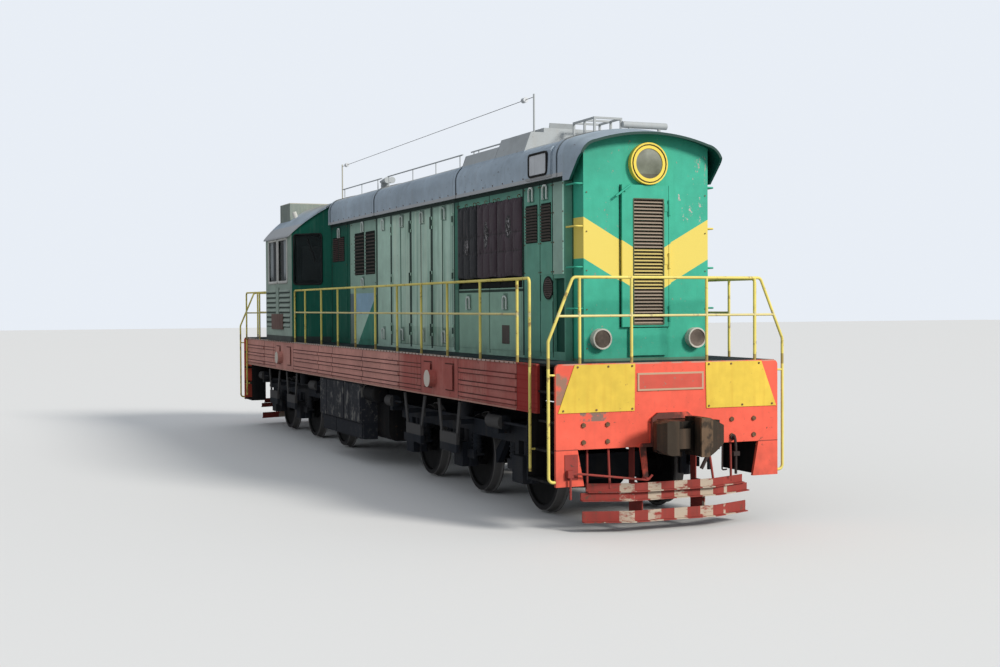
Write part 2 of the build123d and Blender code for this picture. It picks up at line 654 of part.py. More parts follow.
door_places = []
for side_name, side in (("right", -1), ("left", 1)):
    for bay, (left_x, right_x) in enumerate(zip(bay_seams, bay_seams[1:]), start=1):
        middle_x = (left_x + right_x) / 2
        door_places.append((f"{side_name}_door_{bay}_rear", side, left_x + post_half, middle_x, 1))
        door_places.append((f"{side_name}_door_{bay}_front", side, right_x - post_half, middle_x, -1))

door_pivot_y = hood_half_width + knuckle_stand_off
for door_name, side, hinge_x, meeting_x, direction in door_places:
    with BuildPart() as door:
        block(tuple(sorted((hinge_x + direction * door_gap, meeting_x - direction * leaf_meeting_gap))),
              tuple(sorted((side * hood_half_width, side * (hood_half_width - leaf_thickness)))),
              (door_bottom_z + door_gap, door_top_z - door_gap))
        for height in hinge_heights:
            hinge_half(Vector(hinge_x, side * door_pivot_y, 0), Vector(0, side, 0), Vector(direction, 0, 0),
                       height - knuckle_half, height + knuckle_half, 30)
        if direction < 0:
            for handle_z in (2120, 3890):
                hoop(meeting_x + 90, side, handle_z)
    door.part.label = door_name
    export_step(door.part, f"parts/{door_name}.step")

wall_plates = (
    # first x, last x, low z, high z
    (-2730, -1760, 1990, 4030),
    (-1510, -90, 1990, 4030),
    (3760, 4835, 1980, 2725),
    (4865, 5900, 1980, 2725),
    (6000, 6462, 1990, 4030),
    (6478, 6820, 1990, 2600),
    (6478, 6820, 2920, 4030),
    (6840, 7140, 2910, 4030),
)
wall_handles = ((-2245, 3890), (-800, 3920), (-800, 2960), (330, 3890), (330, 2120), (4120, 2600), (5400, 2600),
                (6235, 3920), (6645, 3920))
corner_recess_x = (6850, hood_front_x - 20)
with BuildPart() as hood_walls:
    block((hood_rear_x, hood_front_x), (-hood_half_width, hood_half_width), (deck_top_z, eave_z))
    block((hood_rear_x + wall_thickness, hood_front_x - wall_thickness),
          (-hood_half_width + wall_thickness, hood_half_width - wall_thickness), (deck_top_z, eave_z), Mode.SUBTRACT)
    for left_x, right_x in zip(bay_seams, bay_seams[1:]):
        block((left_x + post_half, right_x - post_half), (-hood_half_width, hood_half_width),
              (door_bottom_z, door_top_z), Mode.SUBTRACT)
    block(radiator_x, (-hood_half_width, hood_half_width), radiator_z, Mode.SUBTRACT)
    for side in (-1, 1):
        for first_x, last_x, low_z, high_z in wall_plates:
            block((first_x, last_x), tuple(sorted((side * hood_half_width, side * (hood_half_width + 6)))),
                  (low_z, high_z))
        recess_y = side * (hood_half_width - wall_thickness)
        block(corner_recess_x, tuple(sorted((recess_y, side * (hood_half_width + 5)))), (2000, 2870), Mode.SUBTRACT)
        block((corner_recess_x[0] - 15, corner_recess_x[1]), tuple(sorted((recess_y, side * 840))), (1985, 2885))
        rod((6710, side * hood_half_width, 2760), (6710, side * (hood_half_width + 16), 2760), 140)
        with BuildPart(mode=Mode.PRIVATE) as handle:
            hoop(0, side, 0)
        with Locations(*[(handle_x, 0, handle_z) for handle_x, handle_z in wall_handles]):
            add(handle.part)
        for direction in (-1, 1):
            hinge_places = [(hinge_x, 0, 0) for _, door_side, hinge_x, _, door_direction in door_places
                            if (door_side, door_direction) == (side, direction)]
            with BuildPart(mode=Mode.PRIVATE) as hinge:
                hinge_frame(Vector(0, side * door_pivot_y, 0), Vector(0, side, 0), Vector(direction, 0, 0),
                            hinge_heights)
            with Locations(*hinge_places):
                add(hinge.part)
    block((fan_x - 80, fan_x + 80), (-hood_half_width + wall_thickness, hood_half_width - wall_thickness),
          (3940, 4040))
    rod((fan_x, 0, 4040), (fan_x, 0, 4180), 90)
    rod((fan_x, 0, 3960), (fan_x, 0, 4200), 40 + fit, Mode.SUBTRACT)
hood_walls.part.label = "hood_walls"
export_step(hood_walls.part, "parts/hood_walls.step")

# Radiator shutters: sloping slats in both side bays
slat_pitch = 90
with BuildPart() as radiator_shutters:
    slat_count = int((radiator_z[1] - radiator_z[0]) / slat_pitch)
    for index in range(slat_count):
        low_z = radiator_z[0] + 10 + index * slat_pitch
        prism([(-hood_half_width + 8, low_z), (-hood_half_width + 14, low_z), (-hood_half_width + 34, low_z + 70),
               (-hood_half_width + 28, low_z + 70)],
              Plane(origin=(radiator_x[0], 0, 0), x_dir=(0, 1, 0), z_dir=(1, 0, 0)), radiator_x[1] - radiator_x[0])
    for upright_x in (radiator_x[0], 4430, 5130, radiator_x[1] - 30):
        block((upright_x, upright_x + 30), (-hood_half_width + 14, -hood_half_width + 40), radiator_z)
    mirror(about=Plane.XZ)
radiator_shutters.part.label = "radiator_shutters"
export_step(radiator_shutters.part, "parts/radiator_shutters.step")

# Quilted winter covers hung over the radiator shutters
cover_z = (2910, 3920)
with BuildPart() as winter_covers:
    for left_x, right_x in ((3700, 4425), (4435, 5125), (5135, 5940)):
        block((left_x, right_x), (-hood_half_width - 26, -hood_half_width - fit), cover_z)
    mirror(about=Plane.XZ)
winter_covers.part.label = "winter_covers"
export_step(winter_covers.part, "parts/winter_covers.step")

# Engine and main generator, one plain block on the deck
with BuildPart() as engine_block:
    block((600, 3500), (-480, 480), (deck_top_z, 3250))
    block((-900, 600), (-550, 550), (deck_top_z, 3000))
engine_block.part.label = "engine_block"
export_step(engine_block.part, "parts/engine_block.step")

# Cooling fan under the raised housing
fan_radius = fan_opening_radius - 30
blade_pitch = 35
with BuildPart() as cooling_fan:
    rod((fan_x, 0, 3980), (fan_x, 0, 4420), 40)
    rod((fan_x, 0, 4300), (fan_x, 0, 4420), 150)
    for turn in range(8):
        angle = turn * 45
        with Locations(Location((fan_x, 0, 4360), (0, 0, angle)) * Location((0, 0, 0), (blade_pitch, 0, 0))):
            Box(fan_radius, 170, 12, align=(Align.MIN, Align.CENTER, Align.CENTER))
cooling_fan.part.label = "cooling_fan"
export_step(cooling_fan.part, "parts/cooling_fan.step")

# Raised fan housing on the roof in two steps, with a round duct and tilted shutter flaps over it
housing_steps = (
    # first x, last x, top z, half width at the top
    (3700, 4890, 4650, 800),
    (4890, 5850, 4740, 760),
)
flap_frame_x = (4930, 5810)
with BuildPart() as fan_housing:
    for first_x, last_x, top_z, top_y in housing_steps:
        prism([(-945, 4250), (-top_y, top_z), (top_y, top_z), (945, 4250)],
              Plane(origin=(first_x, 0, 0), x_dir=(0, 1, 0), z_dir=(1, 0, 0)), last_x - first_x)
    block((flap_frame_x[0] - 15, flap_frame_x[1] + 15), (-570, 570), (4700, 4800))
    block(flap_frame_x, (-550, 550), (4740, 4850), Mode.SUBTRACT)
    extrude(roof_outer.moved(Location((hood_rear_x, 0, 0))), amount=hood_front_x - hood_rear_x, mode=Mode.SUBTRACT)
    with Locations((fan_x, 0, 4600)):
        Cylinder(fan_opening_radius, 600, mode=Mode.SUBTRACT)
    for index in range(6):
        low_x = flap_frame_x[0] + 20 + index * 145
        prism([(low_x, 4745), (low_x + 12, 4742), (low_x + 130, 4800), (low_x + 118, 4803)],
              Plane(origin=(0, 555, 0), x_dir=(1, 0, 0), z_dir=(0, -1, 0)), 1110)
    prism([(4918, 4780), (4933, 4780), (5000, 4985), (4985, 4990)],
          Plane(origin=(0, 270, 0), x_dir=(1, 0, 0), z_dir=(0, -1, 0)), 370)
fan_housing.part.label = "fan_housing"
export_step(fan_housing.part, "parts/fan_housing.step")

# Nose: front wall, side walls and the doorway for the grille door
nose_door_y = (-350, 265)
nose_door_z = (2295, 3950)
nose_door_x = (nose_front_x + door_gap, nose_front_x + door_gap + 38)
nose_hinge_heights = (2450, 3070, 3690)
nose_pivot = Vector(nose_door_x[1] + knuckle_stand_off, nose_door_y[1] + door_gap, 0)
with BuildPart() as nose_panels:
    block((hood_front_x, nose_front_x), (-nose_half_width, nose_half_width), (deck_top_z, crest_z))
    rear_arch = hood_arch(roof_thickness, 0, deck_top_z)
    front_arch = hood_arch(roof_thickness, visor_drop, deck_top_z)
    loft([rear_arch.moved(Location((hood_front_x, 0, 0))), front_arch.moved(Location((visor_front_x, 0, 0)))],
         ruled=True, mode=Mode.INTERSECT)
    block((hood_front_x, nose_front_x - wall_thickness),
          (-nose_half_width + wall_thickness, nose_half_width - wall_thickness), (deck_top_z, 4300),
          Mode.SUBTRACT)
    block((nose_front_x - wall_thickness, nose_front_x), (nose_door_y[0] + 50, nose_door_y[1] - 50),
          (nose_door_z[0] + 50, nose_door_z[1] - 50), Mode.SUBTRACT)
    block((nose_front_x, nose_front_x + 40), (-250, 240), (1960, 2280))
    for side in (-1, 1):
        for rung_z in (2510, 2990, 3460, 3950):
            tube([(7200, side * hood_half_width, rung_z), (7440, side * hood_half_width, rung_z),
                  (7440, side * nose_half_width, rung_z)], 11, 30)
    hinge_post_y = nose_door_y[1] + door_gap
    block((nose_front_x, nose_door_x[1]), (hinge_post_y + 1, hinge_post_y + 26), nose_door_z)
    hinge_frame(nose_pivot, Vector(1, 0, 0), Vector(0, -1, 0), nose_hinge_heights)
nose_panels.part.label = "nose_panels"
export_step(nose_panels.part, "parts/nose_panels.step")

# Nose door with its slatted grille
grille_z = (2330, 3780)
grille_half_width = 190
grille_slats = 36
with BuildPart() as nose_door:
    block(nose_door_x, nose_door_y, nose_door_z)
    block(nose_door_x, (-grille_half_width, grille_half_width), grille_z, Mode.SUBTRACT)
    slat_rise = (grille_z[1] - grille_z[0]) / grille_slats
    for index in range(grille_slats):
        low_z = grille_z[0] + index * slat_rise
        prism([(nose_door_x[1] - 4, low_z + 4), (nose_door_x[1] - 4, low_z + 10), (nose_door_x[0] + 4, low_z + 36),
               (nose_door_x[0] + 4, low_z + 30)],
              Plane(origin=(0, grille_half_width, 0), x_dir=(1, 0, 0), z_dir=(0, -1, 0)), 2 * grille_half_width)
    latch_x = nose_door_x[1] + 20
    rod((nose_door_x[1], -310, 3884), (latch_x, -310, 3884), 14)
    rod((latch_x, -440, 3809), (latch_x, -250, 3942), 13)
    for height in nose_hinge_heights:
        hinge_half(nose_pivot, Vector(1, 0, 0), Vector(0, -1, 0), height - knuckle_half, height + knuckle_half, 60)
nose_door.part.label = "nose_door"
export_step(nose_door.part, "parts/nose_door.step")

# Cab walls on a six-sided plan, cut to the roof's arch
cab_plan = [(cab_rear_x, -cab_half_width), (cab_front_x, -cab_half_width), (hood_rear_x, -hood_half_width),
            (hood_rear_x, hood_half_width), (cab_front_x, cab_half_width), (cab_rear_x, cab_half_width)]


def cab_arch(drop):
    """Face under the cab roof's arch, lowered by the drop."""
    with BuildSketch(Plane(origin=(cab_rear_x - 100, 0, 0), x_dir=(0, 1, 0), z_dir=(1, 0, 0))) as section:
        with BuildLine():
            reach_y = cab_half_width + cab_overhang
            eave = (reach_y, cab_eave_z - 35 - drop)
            slope = (cab_slope_mid[0], cab_slope_mid[1] - drop)
            shoulder = (cab_shoulder[0], cab_shoulder[1] - drop)
            ThreePointArc(eave, slope, shoulder)
            ThreePointArc(shoulder, (0, cab_crest_z - drop), (-shoulder[0], shoulder[1]))
            ThreePointArc((-shoulder[0], shoulder[1]), (-slope[0], slope[1]), (-eave[0], eave[1]))
            Polyline((-eave[0], eave[1]), (-reach_y, deck_top_z), (reach_y, deck_top_z), eave)
        make_face()
    return section.sketch


deck_plane = Plane(origin=(0, 0, deck_top_z), x_dir=(1, 0, 0), z_dir=(0, 0, 1))
slant = Vector(hood_rear_x - cab_front_x, cab_half_width - hood_half_width, 0)
right_slant = Plane(origin=(cab_front_x, -cab_half_width, 0), x_dir=(slant.X, slant.Y, 0),
                    z_dir=(slant.Y, -slant.X, 0))
left_slant = Plane(origin=(hood_rear_x, hood_half_width, 0), x_dir=(-slant.X, slant.Y, 0),
                   z_dir=(slant.Y, slant.X, 0))
right_side = Plane(origin=(0, -cab_half_width, 0), x_dir=(1, 0, 0), z_dir=(0, -1, 0))
left_side = Plane(origin=(0, cab_half_width, 0), x_dir=(-1, 0, 0), z_dir=(0, 1, 0))
rear_side = Plane(origin=(cab_rear_x, 0, 0), x_dir=(0, -1, 0), z_dir=(-1, 0, 0))
window_low_z = 3010
window_high_z = 3880
front_door = (140, 830)
rear_door = (840, 1400)
cab_door_z = (1960, 3860)
cab_windows_list = (
    # plane, first edge, last edge, low edge, high edge
    (right_slant, 95, 735, 2985, 3905),
    (right_side, -5350, -4600, window_low_z, window_high_z),
    (right_side, -4560, -3810, window_low_z, window_high_z),
    (left_side, 3810, 4560, window_low_z, window_high_z),
    (left_side, 4600, 5350, window_low_z, window_high_z),
    (rear_side, 120, 760, 3100, 3800),
    (rear_side, -760, -120, 3100, 3800),
)


def pane(plane, first, last, low, high, inset, thickness, corner, mode=Mode.ADD):
    """Add or cut a rounded pane that starts the inset behind a wall's outer face."""
    with BuildSketch(plane.offset(-inset)) as outline:
        with Locations(((first + last) / 2, (low + high) / 2)):
            RectangleRounded(last - first, high - low, corner)
    extrude(outline.sketch, amount=-thickness, mode=mode)


with BuildPart() as cab_walls:
    with BuildSketch(deck_plane) as plan:
        with BuildLine():
            Polyline(*cab_plan, close=True)
        make_face()
        offset(amount=-cab_wall, mode=Mode.SUBTRACT)
    extrude(plan.sketch, amount=cab_crest_z - deck_top_z)
    extrude(cab_arch(roof_thickness), amount=hood_rear_x - cab_rear_x + 200, mode=Mode.INTERSECT)
    for plane, first, last, low, high in cab_windows_list:
        pane(plane, first, last, low, high, -5, cab_wall + 10, 50, Mode.SUBTRACT)
    pane(left_slant, front_door[0], front_door[1], *cab_door_z, -5, cab_wall + 10, 4, Mode.SUBTRACT)
    pane(rear_side, rear_door[0], rear_door[1], *cab_door_z, -5, cab_wall + 10, 4, Mode.SUBTRACT)
    front_inward = -left_slant.z_dir
    rear_inward = -rear_side.z_dir
    front_pivot = Vector(*left_slant.from_local_coords((front_door[1], 0, -cab_wall - knuckle_stand_off)))
    rear_pivot = Vector(*rear_side.from_local_coords((rear_door[1], 0, -cab_wall - knuckle_stand_off)))
    cab_hinge_heights = (2200, 2950, 3650)
    hinge_frame(front_pivot, front_inward, -left_slant.x_dir, cab_hinge_heights)
    hinge_frame(rear_pivot, rear_inward, -rear_side.x_dir, cab_hinge_heights)
cab_walls.part.label = "cab_walls"
export_step(cab_walls.part, "parts/cab_walls.step")

for door_name, plane, opening, pivot, inward in (
    ("cab_front_door", left_slant, front_door, front_pivot, front_inward),
    ("cab_rear_door", rear_side, rear_door, rear_pivot, rear_inward),
):
    with BuildPart() as cab_door:
        leaf_first = opening[0] + 8
        leaf_last = opening[1] - door_gap
        pane(plane, leaf_first, leaf_last, cab_door_z[0] + door_gap, cab_door_z[1] - door_gap, 10, cab_wall - 10, 4)
        pane(plane, leaf_first + 110, leaf_last - 110, 3010, 3750, 0, cab_wall, 40, Mode.SUBTRACT)
        pane(plane, leaf_first + 110, leaf_last - 110, 3010, 3750, 25, 8, 40)
        for height in cab_hinge_heights:
            hinge_half(pivot, inward, -plane.x_dir, height - knuckle_half, height + knuckle_half, 60)
    cab_door.part.label = door_name
    export_step(cab_door.part, f"parts/{door_name}.step")

with BuildPart() as cab_windows:
    for plane, first, last, low, high in cab_windows_list:
        pane(plane, first, last, low, high, 20, 8, 50)
cab_windows.part.label = "cab_windows"
export_step(cab_windows.part, "parts/cab_windows.step")

with BuildPart() as cab_roof:
    with BuildSketch(deck_plane) as plan:
        with BuildLine():
            Polyline((cab_rear_x - cab_overhang, -cab_half_width - cab_overhang),
                     (cab_front_x, -cab_half_width - cab_overhang),
                     (hood_rear_x, -hood_half_width - roof_thickness - cab_overhang),
                     (hood_rear_x, hood_half_width + roof_thickness + cab_overhang),
                     (cab_front_x, cab_half_width + cab_overhang),
                     (cab_rear_x - cab_overhang, cab_half_width + cab_overhang), close=True)
        make_face()
    extrude(plan.sketch, amount=cab_crest_z - deck_top_z)
    extrude(cab_arch(0), amount=hood_rear_x - cab_rear_x + 200, mode=Mode.INTERSECT)
    extrude(cab_arch(roof_thickness), amount=hood_rear_x - cab_rear_x + 200, mode=Mode.SUBTRACT)
cab_roof.part.label = "cab_roof"
export_step(cab_roof.part, "parts/cab_roof.step")

# Ventilation unit on the cab's roof
with BuildPart() as roof_unit:
    block((cab_rear_x + 20, -4780), (-1200, 1200), (3900, 4604))
    extrude(cab_arch(0), amount=hood_rear_x - cab_rear_x + 200, mode=Mode.SUBTRACT)
roof_unit.part.label = "roof_unit"
export_step(roof_unit.part, "parts/roof_unit.step")

# Driver's desk and two seats on pedestals
with BuildPart() as cab_interior:
    prism([(-2912, deck_top_z), (-3350, deck_top_z), (-3450, 2550), (-3400, 2700), (-3050, 2860), (-2912, 2860)],
          Plane(origin=(0, -100, 0), x_dir=(1, 0, 0), z_dir=(0, -1, 0)), 780)
    for seat_x, seat_y in ((-4050, -750), (-4850, 800)):
        rod((seat_x, seat_y, deck_top_z), (seat_x, seat_y, 2330), 55)
        block((seat_x - 230, seat_x + 230), (seat_y - 230, seat_y + 230), (2330, 2420))
        block((seat_x - 230, seat_x - 150), (seat_y - 220, seat_y + 220), (2420, 3000))
cab_interior.part.label = "cab_interior"
export_step(cab_interior.part, "parts/cab_interior.step")

# Short rear hood
rear_hood_x = -7400
rear_hood_half = 790
rear_hood_top_z = 2900
with BuildPart() as rear_hood:
    block((rear_hood_x, cab_rear_x), (-rear_hood_half, rear_hood_half), (deck_top_z, rear_hood_top_z))
    fillet(rear_hood.edges().filter_by(Axis.X).group_by(Axis.Z)[-1], 120)
rear_hood.part.label = "rear_hood"
export_step(rear_hood.part, "parts/rear_hood.step")

# Headlamps and marker lamps: round housings with set-back lenses
lamp_places = (
    # face x, direction, y, z, ring radius, lens radius, depth
    (nose_front_x, 1, 0, 4200, 245, 176, 70),
    (cab_rear_x, -1, 0, 4180, 245, 176, 70),
    (nose_front_x, 1, 630, 2160, 120, 102, 90),
    (nose_front_x, 1, -630, 2160, 120, 102, 90),
    (rear_hood_x, -1, 560, 2300, 120, 102, 90),
    (rear_hood_x, -1, -560, 2300, 120, 102, 90),
)
with BuildPart() as lamps:
    for face_x, direction, lamp_y, lamp_z, ring_radius, lens_radius, depth in lamp_places:
        rod((face_x, lamp_y, lamp_z), (face_x + direction * depth, lamp_y, lamp_z), ring_radius)
        rod((face_x + direction * (depth - 30), lamp_y, lamp_z), (face_x + direction * depth, lamp_y, lamp_z),
            lens_radius, Mode.SUBTRACT)
lamps.part.label = "lamps"
export_step(lamps.part, "parts/lamps.step")

with BuildPart() as lamp_lenses:
    for face_x, direction, lamp_y, lamp_z, ring_radius, lens_radius, depth in lamp_places:
        rod((face_x + direction * (depth - 30), lamp_y, lamp_z),
            (face_x + direction * (depth - 10), lamp_y, lamp_z), lens_radius)
lamp_lenses.part.label = "lamp_lenses"
export_step(lamp_lenses.part, "parts/lamp_lenses.step")

# Side railings along the walkways
side_posts = (-3490, -2730, -1630, -590, 430, 1490, 2550, 3610, 4640, 5800, 6955)
rear_side_posts = (-5720, -6450)
loop_x = 7440
loop_y = 1505
loop_foot_z = 670
loop_stay_z = 922.5
rail_foot_z = deck_top_z - 10
with BuildPart() as side_railings:
    for post_x in side_posts[1:] + rear_side_posts[1:]:
        rod((post_x, -half_width, rail_foot_z), (post_x, -half_width, rail_top_z), rail_radius)
    for posts, last_x in ((side_posts, loop_x), (rear_side_posts, -loop_x)):
        tube([(posts[0], -half_width, rail_foot_z), (posts[0], -half_width, rail_top_z),
              (posts[-1], -half_width, rail_top_z), (last_x, -loop_y, rail_top_z), (last_x, -loop_y, loop_foot_z)],
             rail_radius, 60)
        rod((posts[0], -half_width, rail_mid_z), (posts[-1], -half_width, rail_mid_z), rail_radius - 3)
        rod((last_x, -loop_y, loop_stay_z), (last_x, -half_width, loop_stay_z), rail_radius - 5)
    mirror(about=Plane.XZ)
side_railings.part.label = "side_railings"
export_step(side_railings.part, "parts/side_railings.step")

# End railings: one bent tube hooked to each side of the end plate, with posts on the plate's top edge
end_rail_x = 7980
end_posts = (490, 1140)
grab_y = 1525
grab_foot_z = 600
grab_top_z = 2150
end_rail_corner_y = 1220
end_rail_mid_z = 2430
with BuildPart() as end_railings:
    tube([(end_rail_x, -half_width, grab_foot_z), (end_rail_x, -grab_y, grab_foot_z),
          (end_rail_x, -grab_y, grab_top_z), (end_rail_x, -end_rail_corner_y, rail_top_z),
          (end_rail_x, 0, rail_top_z)], rail_radius, 55)
    slope = (end_rail_mid_z - grab_top_z) / (rail_top_z - grab_top_z)
    mid_reach = grab_y - slope * (grab_y - end_rail_corner_y)
    rod((end_rail_x, -mid_reach, end_rail_mid_z), (end_rail_x, 0, end_rail_mid_z), rail_radius - 3)
    for post_y in end_posts:
        rod((end_rail_x, -post_y, deck_top_z), (end_rail_x, -post_y, rail_top_z), rail_radius)
    rod((end_rail_x, -half_width, 1780), (end_rail_x, -grab_y, 1780), rail_radius - 5)
    mirror(about=Plane.XZ)
    mirror(about=Plane.YZ)
end_railings.part.label = "end_railings"
export_step(end_railings.part, "parts/end_railings.step")

# Roof fittings: exhaust stack, horns, aerial masts, thin handrails and light frames
handrail_y = 750
handrail_z = 4700
handrails = (
    # first x, last x, posts, foot z
    (-2600, -280, (-2480, -1420, -500), 4480),
    (50, 3460, (100, 1300, 2350, 3350), 4480),
    (3790, 5730, (3890, 4070, 5670), 4600),
)
with BuildPart() as roof_fittings:
    rod((2100, 0, crest_z - roof_thickness), (2100, 0, crest_z + 110), 160)
    rod((2100, 0, crest_z), (2100, 0, crest_z + 120), 130, Mode.SUBTRACT)
    for side in (-1, 1):
        for first_x, last_x, posts, foot_z in handrails:
            rod((first_x, side * handrail_y, handrail_z), (last_x, side * handrail_y, handrail_z), 10)
            for stand_x in posts:
                rod((stand_x, side * handrail_y, foot_z), (stand_x, side * handrail_y, handrail_z), 8)
    for horn_y in (-560, -640):
        with Locations(Plane(origin=(-690, horn_y, 4680), z_dir=(1, 0, 0))):
            Cone(18, 55, 390, align=(Align.CENTER, Align.CENTER, Align.MIN))
    block((-620, -560), (-660, -540), (4480, 4680))
    rod((7045, -100, 4710), (7045, 500, 4710), 40)
    for foot_y in (0, 400):
        block((7030, 7060), (foot_y - 15, foot_y + 15), (4500, 4710))
    for frame_x in (6000, 6300, 6570):
        prism([(-250, 4600), (-250, 4860), (140, 4860), (140, 4600), (115, 4600), (115, 4835), (-225, 4835),
               (-225, 4600)],
              Plane(origin=(frame_x, 0, 0), x_dir=(0, 1, 0), z_dir=(1, 0, 0)), 25)
    for rail_y in (-237, 127):
        block((6000, 6595), (rail_y - 12, rail_y + 12), (4836, 4859))
    rod((5590, -600, housing_steps[1][2]), (5590, -600, 5260), 12)
    rod((-3150, -600, 4300), (-3150, -600, 5220), 12)
    extrude(roof_outer.moved(Location((hood_rear_x, 0, 0))), amount=hood_front_x - hood_rear_x, mode=Mode.SUBTRACT)
    for first_x, last_x, top_z, top_y in housing_steps:
        prism([(-945, 4250), (-top_y, top_z), (top_y, top_z), (945, 4250)],
              Plane(origin=(first_x, 0, 0), x_dir=(0, 1, 0), z_dir=(1, 0, 0)), last_x - first_x, Mode.SUBTRACT)
    extrude(cab_arch(0), amount=hood_rear_x - cab_rear_x + 95, mode=Mode.SUBTRACT)
roof_fittings.part.label = "roof_fittings"
export_step(roof_fittings.part, "parts/roof_fittings.step")
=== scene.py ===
import math

import bpy
from mathutils import Matrix, Vector


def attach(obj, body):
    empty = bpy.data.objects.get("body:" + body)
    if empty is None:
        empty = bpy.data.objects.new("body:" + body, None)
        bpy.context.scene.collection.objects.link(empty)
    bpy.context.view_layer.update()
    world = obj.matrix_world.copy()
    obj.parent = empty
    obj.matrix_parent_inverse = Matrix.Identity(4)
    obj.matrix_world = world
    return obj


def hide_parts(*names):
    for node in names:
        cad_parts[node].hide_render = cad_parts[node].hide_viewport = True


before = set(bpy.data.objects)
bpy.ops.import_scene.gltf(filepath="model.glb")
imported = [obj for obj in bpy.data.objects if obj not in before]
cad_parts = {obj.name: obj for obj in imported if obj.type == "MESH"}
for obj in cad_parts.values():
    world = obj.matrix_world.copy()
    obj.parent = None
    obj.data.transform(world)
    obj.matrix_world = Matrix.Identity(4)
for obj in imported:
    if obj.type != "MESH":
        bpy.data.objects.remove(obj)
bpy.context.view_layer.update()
scene = bpy.context.scene


def linked(name, data):
    """Makes an object and links it to the scene."""
    made = bpy.data.objects.new(name, data)
    scene.collection.objects.link(made)
    return made


def settled_mesh(carrier):
    """Leaves a plain mesh of an object as its modifiers shape it, without the object."""
    bpy.context.view_layer.update()
    shaped = carrier.evaluated_get(bpy.context.evaluated_depsgraph_get())
    mesh = bpy.data.meshes.new_from_object(shaped)
    bpy.data.objects.remove(carrier)
    return mesh


# Camera: eye level, in front of the locomotive and to its right, turned so that the end plate
# and the whole right side show. The lens is a short telephoto on a 36 mm wide frame.
eye = Vector((21.384, -7.743, 2.539))
yaw, pitch, roll = (math.radians(angle) for angle in (157.152, -1.142, -0.301))
forward = Vector((math.cos(pitch) * math.cos(yaw), math.cos(pitch) * math.sin(yaw), math.sin(pitch)))
level_right = forward.cross(Vector((0, 0, 1))).normalized()
level_up = level_right.cross(forward)
right = math.cos(roll) * level_right + math.sin(roll) * level_up
up = math.cos(roll) * level_up - math.sin(roll) * level_right
camera_data = bpy.data.cameras.new("camera")
camera_data.lens = 48.56
camera_data.sensor_width = 36.0
camera_data.clip_end = 400.0
camera = linked("camera", camera_data)
turn = Matrix((right, up, -forward)).transposed().to_4x4()
camera.matrix_world = Matrix.Translation(eye) @ turn
bpy.context.scene.camera = camera
bpy.context.scene.view_settings.view_transform = "Standard"


# Studio: a pale painted floor under a plain, slightly blue sky, which fills the shaded right side
# evenly, and one wide soft lamp ahead and to the left.
class Tint:
    """One output of a material's nodes, which plain operators work on as a value."""

    def __init__(self, tree, socket=None):
        self.tree = tree
        self.socket = socket

    def node(self, kind, settings=None, sockets=None, output=0):
        made = self.tree.nodes.new(kind)
        for name, value in (settings or {}).items():
            setattr(made, name, value)
        for key, value in (sockets or {}).items():
            if isinstance(value, Tint):
                self.tree.links.new(value.socket, made.inputs[key])
            else:
                made.inputs[key].default_value = value
        return Tint(self.tree, made.outputs[output])

    def maths(self, operation, first, second=0.0):
        return self.node("ShaderNodeMath", {"operation": operation}, {0: first, 1: second})

    def __add__(self, other):
        return self.maths("ADD", self, other)

    __radd__ = __add__

    def __sub__(self, other):
        return self.maths("SUBTRACT", self, other)

    def __rsub__(self, other):
        return self.maths("SUBTRACT", other, self)

    def __mul__(self, other):
        return self.maths("MULTIPLY", self, other)

    __rmul__ = __mul__

    def __truediv__(self, other):
        return self.maths("DIVIDE", self, other)

    def __abs__(self):
        return self.maths("ABSOLUTE", self)

    def above(self, limit):
        return self.maths("GREATER_THAN", self, limit)

    def below(self, limit):
        return self.maths("LESS_THAN", self, limit)

    def between(self, low, high):
        return self.above(low) * self.below(high)

    def near(self, place, half):
        return abs(self - place).below(half)

    def fade(self, low, high):
        return self.node("ShaderNodeMapRange", {"interpolation_type": "SMOOTHSTEP"},
                         {"Value": self, "From Min": low, "From Max": high})

    def larger(self, other):
        return self.maths("MAXIMUM", self, other)

    def smaller(self, other):
        return self.maths("MINIMUM", self, other)

    def sine(self):
        return self.maths("SINE", self)


floor_half = 150.0
floor_corners = [(x_sign * floor_half, y_sign * floor_half, 0)
                 for x_sign, y_sign in ((-1, -1), (1, -1), (1, 1), (-1, 1))]
floor_mesh = bpy.data.meshes.new("floor")
floor_mesh.from_pydata(floor_corners, [], [(0, 1, 2, 3)])
floor = linked("floor", floor_mesh)
floor_paint = bpy.data.materials.new("floor_paint")
floor_paint.use_nodes = True
floor_shader = floor_paint.node_tree.nodes["Principled BSDF"]
floor_shader.inputs["Roughness"].default_value = 0.85
seen_direct, seen_through = (Tint(floor_paint.node_tree).node("ShaderNodeLightPath", output=kind)
                             for kind in ("Is Camera Ray", "Is Transmission Ray"))
floor_seen = seen_direct.larger(seen_through)
lighting_grey, visible_grey = (0.30, 0.30, 0.30, 1), (0.72, 0.72, 0.71, 1)
floor_tone = floor_seen.node("ShaderNodeMix", {"data_type": "RGBA"},
                             {0: floor_seen, 6: lighting_grey, 7: visible_grey}, 2)
floor_paint.node_tree.links.new(floor_tone.socket, floor_shader.inputs["Base Color"])
floor_mesh.materials.append(floor_paint)

sun_data = bpy.data.lights.new("key_lamp", "SUN")
sun_data.energy = 3.1
sun_data.angle = math.radians(14)
sun_data.color = (1.0, 0.96, 0.9)
sun = linked("key_lamp", sun_data)
sun.rotation_mode = "QUATERNION"
sun.rotation_quaternion = Vector((-0.80, -0.42, -0.52)).to_track_quat("-Z", "Y")

